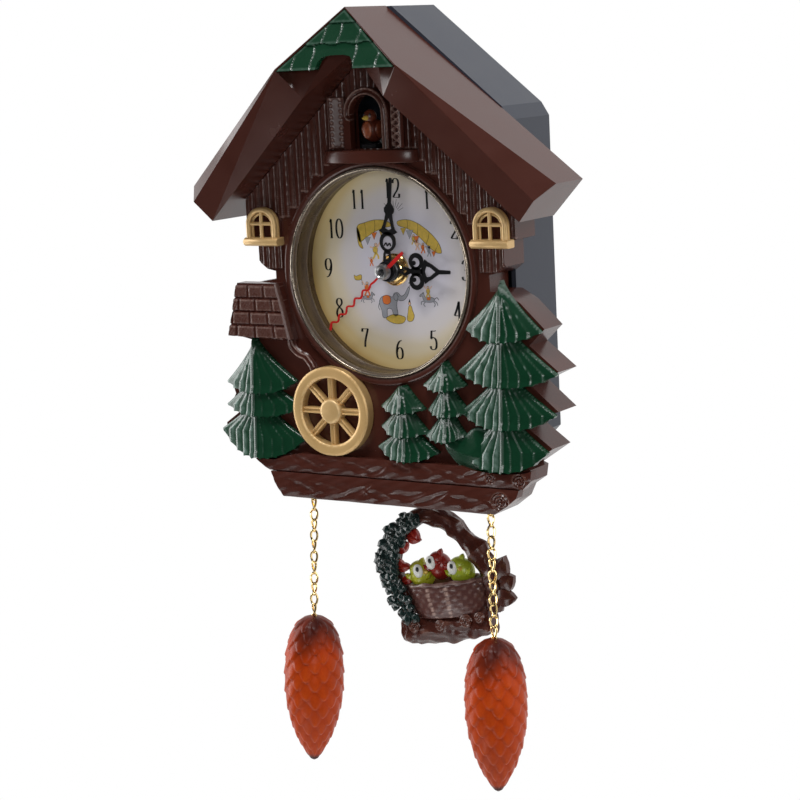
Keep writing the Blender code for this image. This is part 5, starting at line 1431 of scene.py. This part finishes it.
for label, side, lean_angle in (("left", -1, 3.9), ("right", 1, 1.0)):
    top = Vector((CHAIN_X * side, CHAIN_Y, CHAIN_TOP_Z))
    hang = Matrix.Translation(top) @ Matrix.Rotation(radians(lean_angle), 4, "Y")
    eye = Shape()
    eye.turned([(0.01, -115.3), (1.5, -115.3), (1.5, -115.9), (0.6, -116.1), (0.6, -116.6),
                (0.01, -116.6)], (top.x, top.y, 0), "Z", 16)
    eye.tube([(top.x + 1.5 * cos(a), top.y, -117.7 + 1.4 * sin(a))
              for a in np.linspace(0, 2 * pi, 17)[:-1]], 0.5, 8, closed=True)
    eye.make("chain_eye_" + label, "brass", "case", "chain_hook_" + label)
    chain = Shape()
    pitch = (CHAIN_LENGTH - 0.5) / LINKS
    for k in range(LINKS):
        middle = -(k + 0.5) * pitch - 0.2
        twist = radians(24 + 9 * sin(k * 2.1)) * (1 if k % 2 else -1) + radians(32 * side * 0.3)
        loop = []
        for j in range(20):
            a = 2 * pi * j / 20
            px, pz = 1.75 * sin(a), (pitch / 2 + 0.35) * cos(a)
            swing = twist + 0.55 * cos(a)
            loop.append((px * cos(swing), px * sin(swing), middle + pz))
        chain.tube(loop, 0.60, 8, closed=True, turn=hang)
    chain.make("chain_links_" + label, "brass", "chain_" + label, "chain_" + label)
    cone = Shape()
    steps, rows = 156, 150
    points, wear_and_light_marks = [], []
    for r in range(rows + 1):
        z = -79.0 * (r / rows)
        for j in range(steps):
            radius, rub_and_painted_light = cone_point(j / steps, z)
            a = 2 * pi * j / steps
            points.append((max(radius, 0.2) * cos(a), max(radius, 0.2) * sin(a),
                           z - CHAIN_LENGTH))
            shade = min(max((z + 22 + 4 * sin(3 * a)) / 16, 0), 1) * (0.5 + 0.5 * cos(a + 0.7))
            shade = max(shade, 0.85 * min(max((z + 9 + 3 * sin(5 * a)) / 7, 0), 1))
            shade = max(shade, min(max((-74 - z) / 3, 0), 1))
            # Painted highlight and crevice shade from the scales, and darker bands at the top, on
            # one upper side and at the tip.
            wear_and_light_marks.append(rub_and_painted_light * (1 - shade) - 0.95 * shade)
    faces = [(r * steps + j, r * steps + (j + 1) % steps, (r + 1) * steps + (j + 1) % steps,
              (r + 1) * steps + j) for r in range(rows) for j in range(steps)]
    faces += [tuple(range(steps))[::-1], tuple(rows * steps + j for j in range(steps))]
    cone.add(points, faces, wear_and_light_marks, turn=hang)
    cone.tube([(1.2 * cos(a), 0, 1.3 * sin(a) - CHAIN_LENGTH + 0.1) for a in
               np.linspace(0, 2 * pi, 15)[:-1]], 0.4, 6, closed=True, kind=1, turn=hang)
    cone.make("pine_cone_" + label, ["cone", "brass"], "cone_" + label, "cone_" + label, angle=50)
print("chains and cones made")

# %% [markdown]
# ## The nest pendulum
# A barky branch arches over a woven nest with three chicks, on a rough log. Overlapping
# leaves cover the arch's left side. It is drawn hanging plumb from its pivot and then leant
# part way through its swing.

# %%
PENDULUM_Y, PIVOT_Z, LEAN = -31.8, -92.0, 10.0
plumb = (Matrix.Translation((0, PENDULUM_Y, PIVOT_Z)) @ Matrix.Rotation(radians(-LEAN), 4, "Y"))


def branch(shape, route, radii, depth, knots=(), kind=0, flat=0.85, steps=9, sides=22, seed=0):
    """A rough limb: long ridges that twist along it, small lumps, and knots at some places."""
    path = smooth_path(route, steps)
    radii = np.interp(np.linspace(0, 1, len(path)), np.linspace(0, 1, len(radii)), radii)
    first = len(shape.points)
    wear = []
    shape.tube(path, list(radii), sides, kind=kind, section=(flat, 1.0))
    for k, centre in enumerate(path):
        centre = Vector(centre)
        for j in range(sides):
            i = first + k * sides + j
            a = 2 * pi * j / sides
            ridge = sin(4 * a + k * 0.11 + seed) + 0.7 * sin(7 * a - k * 0.23 + seed * 2)
            lump = sin(k * 0.55 + 3 * a + seed) * 0.6
            swell = sum(size * max(0.0, 1 - abs(k / len(path) - at) / 0.05) for at, size in knots)
            share = 1 + depth * (ridge + lump) / 2 + swell
            offset = Vector(shape.points[i]) - centre
            shape.points[i] = tuple(centre + offset * share)
            wear.append(max(0.0, min(1.0, (ridge + lump - 0.9) * 0.45)))
    shape.wear[first:first + len(wear)] = wear
    return shape


def settle(shape, matrix):
    shape.points = [tuple(matrix @ Vector(p)) for p in shape.points]
    return shape


def leaf_blade(shape, base, angle, length, width, y, cup, kind=0, tilt=0.35, wear=0.8):
    """A pointed leaf with a raised midrib, lying at an angle in x and z."""
    rows, cols = 7, 4
    points, wear_and_light_marks = [], []
    for back_side in (0, 1):
        for r in range(rows + 1):
            t = r / rows
            half = width / 2 * (sin(pi * min(t * 0.92 + 0.08, 1.0)) ** 0.75)
            for c in range(-cols, cols + 1):
                s = c / cols
                out = cup * sin(pi * t) + 0.75 * (1 - abs(s)) + tilt * t * length * 0.35
                px, pz = s * half, t * length
                points.append((base[0] + px * cos(angle) + pz * sin(angle),
                               y - out * (1 - back_side) + back_side * 0.9,
                               base[1] - px * sin(angle) + pz * cos(angle)))
                vein = max(0.0, 1 - abs(s) * 4)
                edge = max(0.0, abs(s) * 4 - 3)
                wear_and_light_marks.append(wear * max(vein, edge * 0.8) * (1 - back_side))
    n = 2 * cols + 1
    m = (rows + 1) * n
    faces = []
    for r in range(rows):
        for c in range(n - 1):
            i = r * n + c
            faces += [(i, i + 1, i + n + 1, i + n), (m + i, m + i + n, m + i + n + 1, m + i + 1)]
    rim = ([c for c in range(n)] + [r * n + n - 1 for r in range(1, rows + 1)]
           + [rows * n + c for c in range(n - 2, -1, -1)] + [r * n for r in range(rows - 1, 0, -1)])
    faces += [(a, a + m, b + m, b) for a, b in zip(rim, rim[1:] + rim[:1])]
    return shape.add(points, faces, wear_and_light_marks, kind)


arch = Shape()
branch(arch, [(-23, 0, -85.6), (-25, 0, -78), (-27, 0, -66), (-25, 0, -52), (-18.5, 0, -42),
              (-8, 0, -35), (3, 0, -36)], [3.4, 3.6, 3.6, 3.6, 3.8, 4.2, 4.0], 0.20,
       ((0.35, 0.25), (0.7, 0.2)), seed=1)
branch(arch, [(-6, 0, -34.5), (3, 0, -36), (11, 0, -40), (17, 0, -47), (22.5, 0, -54),
              (27.5, 0, -62), (30.5, 0, -70), (30, 0, -79), (27, 0, -86)],
       [3.8, 4.8, 4.8, 4.7, 5.2, 5.6, 5.4, 5.2, 4.2], 0.21,
       ((0.30, 0.2), (0.52, 0.35), (0.72, 0.3)), seed=3)
for k, (x, z, angle, length, width) in enumerate((
        (30, -76, 0.55, 20, 11.0), (32, -75, 1.15, 13, 10.0), (30, -79, 1.70, 13, 9.0),
        (31, -78, 0.10, 11, 7.0))):
    leaf_blade(arch, (x, z), angle, length, width, -1.5 - 0.5 * k, 1.4, wear=0.15)
for x, z, angle, size in ((-22, -52, 1.0, 9), (-24, -60, 1.5, 8), (-23, -68, 1.2, 8),
                          (-15, -44, 1.9, 9), (-12, -40, 2.5, 8), (-25, -56, 2.1, 7)):
    leaf_blade(arch, (x, z), angle, size, size * 0.62, -2.6, 0.9, kind=1, wear=0.5)
settle(arch, plumb)
arch.make("branch_wood", ["bark", "chick_red"], "pendulum", "branch_arch")

# %%
random.seed(23)
wreath = Shape()
spine = smooth_path([(-4, -34), (-12, -36.5), (-18.5, -42), (-24, -49.5), (-27, -58), (-27, -67),
                     (-24.5, -76), (-19.5, -84)], 8)
backing = [(x, -5.2, z) for x, z in spine]
wreath.tube(backing, [1.8 + 0.8 * sin(pi * k / len(backing)) for k in range(len(backing))], 10,
            section=(0.8, 1.0))
for k in range(52):
    at = k / 51
    x, z = spine[int(at * (len(spine) - 1))]
    x2, z2 = spine[min(int(at * (len(spine) - 1)) + 1, len(spine) - 1)]
    run = np.arctan2(x2 - x, z2 - z) + (pi if x2 == x and z2 == z else 0)
    side = (-1, 0, 1)[k % 3]
    angle = run + side * random.uniform(0.5, 1.05) + random.uniform(-0.2, 0.2)
    size = random.uniform(4.6, 6.2) + 1.4 * hump(at - 0.45, 0.35)
    spread = side * random.uniform(0.4, 2.0)
    spot = (x + spread * cos(run), z - spread * sin(run))
    leaf_blade(wreath, spot, angle, size, size * 0.80, -5.9 - random.uniform(0.0, 1.4), 1.0,
               wear=0.35, tilt=0.15)
for cx, cz, reach in ((-29.0, -54.5, 6.6), (-20.5, -43.0, 4.8), (-11.0, -36.0, 4.2)):
    for ring, count in ((1.0, 7), (0.62, 5)):
        for j in range(count):
            a = 2 * pi * j / count + ring * 2
            leaf_blade(wreath, (cx - 0.5 * reach * 0.2 * sin(a), cz - 0.1 * reach * cos(a)), a,
                       reach * ring, reach * 0.80 * ring, -7.2 - (1 - ring) * 3.2, 0.8, wear=0.35,
                       tilt=-0.10)
settle(wreath, plumb)
wreath.make("wreath_leaves", "leaf", "pendulum", "leaf_wreath")

# %%
nest = Shape()
profile = [(0.5, -87.4), (11, -87.6), (17.5, -87.0), (21.0, -84.0), (22.9, -78), (23.6, -72.5),
           (23.8, -69.8), (22.8, -68.6), (21.2, -69.4), (19, -71.5), (12, -74), (0.5, -75)]
fine = smooth_path(profile, 8)
steps = 132
points, wear_and_light_marks = [], []
for k, (radius, z) in enumerate(fine):
    for j in range(steps):
        a = 2 * pi * j / steps
        outer = k < len(fine) * 0.55
        strand = (z + 86) / 2.5
        rowed = strand - np.floor(strand)
        over = sin(j * 2 * pi / steps * 22 + pi * np.floor(strand))
        bulge = 0.55 * sin(pi * rowed) * (0.55 + 0.45 * over)
        dash = outer and (j % steps in (92, 93, 102, 103)) and rowed > 0.3
        lift = radius + (bulge if outer else 0.15 * sin(j * 0.8))
        points.append((2 + lift * cos(a), lift * sin(a) * 0.37, z))
        wear_and_light_marks.append(1.0 if dash else (0.28 * max(0.0, over) * sin(pi * rowed) if outer else 0.0))
faces = [(r * steps + j, r * steps + (j + 1) % steps, (r + 1) * steps + (j + 1) % steps,
          (r + 1) * steps + j) for r in range(len(fine) - 1) for j in range(steps)]
faces += [tuple(range(steps))[::-1], tuple((len(fine) - 1) * steps + j for j in range(steps))]
nest.add(points, faces, wear_and_light_marks)
rim = [(2 + 23.4 * cos(a), 8.7 * sin(a), -69.4 + 0.3 * sin(9 * a))
       for a in np.linspace(0, 2 * pi, 73)[:-1]]
nest.tube(rim, [1.0 + 0.22 * sin(k * 1.3) for k in range(len(rim))], 8, closed=True,
          wear=[0.25 + 0.2 * sin(k * 1.3) for k in range(len(rim))])
settle(nest, plumb)
nest.make("nest_weave", "weave", "pendulum", "nest_basket")

# %%
perch = Shape()
branch(perch, [(-28.0, 0, -92.2), (-20, 0, -93.0), (-8, 0, -93.4), (6, 0, -93.0), (17, 0, -92.4),
               (25.5, 0, -91.6)], [6.4, 7.4, 7.0, 7.2, 7.2, 6.0], 0.17, ((0.12, 0.2), (0.5, 0.12)),
       flat=0.8, steps=14, sides=30, seed=5)
for cx, cz, size in ((-19, -90.5, 3.4), (-3, -91.0, 3.0), (12.5, -89.8, 3.6), (21, -88.5, 2.8)):
    curl = [(cx + size * (1 - t) * cos(5.5 * t * pi), -5.8, cz + size * (1 - t) * sin(5.5 * t * pi))
            for t in np.linspace(0, 0.92, 40)]
    perch.tube(curl, [0.55 + 0.25 * sin(pi * k / 40) for k in range(40)], 6, wear=0.35)
settle(perch, plumb)
perch.make("perch_wood", "bark", "pendulum", "perch_log")

# %%
CHICKS = (("left", -11.6, -65.2, 7.0, ["yellow", "white", "black", "ochre"]),
          ("middle", 0.4, -61.5, 6.2, ["red", "white", "black", "ochre"]),
          ("right", 12.6, -65.2, 7.0, ["yellow", "white", "black", "ochre"]))
for label, x, z, size, slots in CHICKS:
    chick = Shape()
    chick.ball((x, 0, z), (size * 0.98, 5.6, 7.0), 28, 16, wear=0.12)
    chick.ball((x - 0.6, -1.2, z + 3.6), (size * 0.72, 4.6, 4.4), 24, 14, wear=0.2)
    eye_x = x + (1.2 if label == "left" else -2.2)
    chick.ball((eye_x, -5.2, z + 3.2), (2.9, 1.3, 3.6), 18, 12, kind=1)
    pupil_x = eye_x + (0.5 if label == "left" else 0.3)
    chick.ball((pupil_x, -6.4, z + 4.2), (1.0, 0.5, 1.3), 12, 8, kind=2)
    beak = [(1.5, 0), (1.2, -1.4), (0.6, -2.8), (0.05, -3.6)]
    chick.turned(beak, (0, 0, 0), "Y", 12, kind=3 if label != "middle" else 0,
                 turn=Matrix.Translation((x + (4.6 if label == "left" else 1.6), -3.6, z + 2.2))
                 @ Matrix.Rotation(radians(50 if label == "left" else 20), 4, "Z"))
    for k, (dx, dz, a) in enumerate(((-4.6, -1.5, -0.7), (4.6, -1.8, 0.7), (1.6, 5.4, 0.4))):
        leaf_blade(chick, (x + dx * 0.9, z + dz), a, 4.2 if k > 1 else 5.0, 2.8,
                   -1.6 if k > 1 else -3.6, 0.5, wear=0.5)
    settle(chick, plumb)
    piece = chick.make("chick_figure_" + label, slots, "pendulum", "chick_" + label)
    if label == "middle":
        piece.data.materials[0] = FINISH["chick_red"]
    if label == "right":
        piece.data.materials[0] = FINISH["lime"]
print("pendulum made")
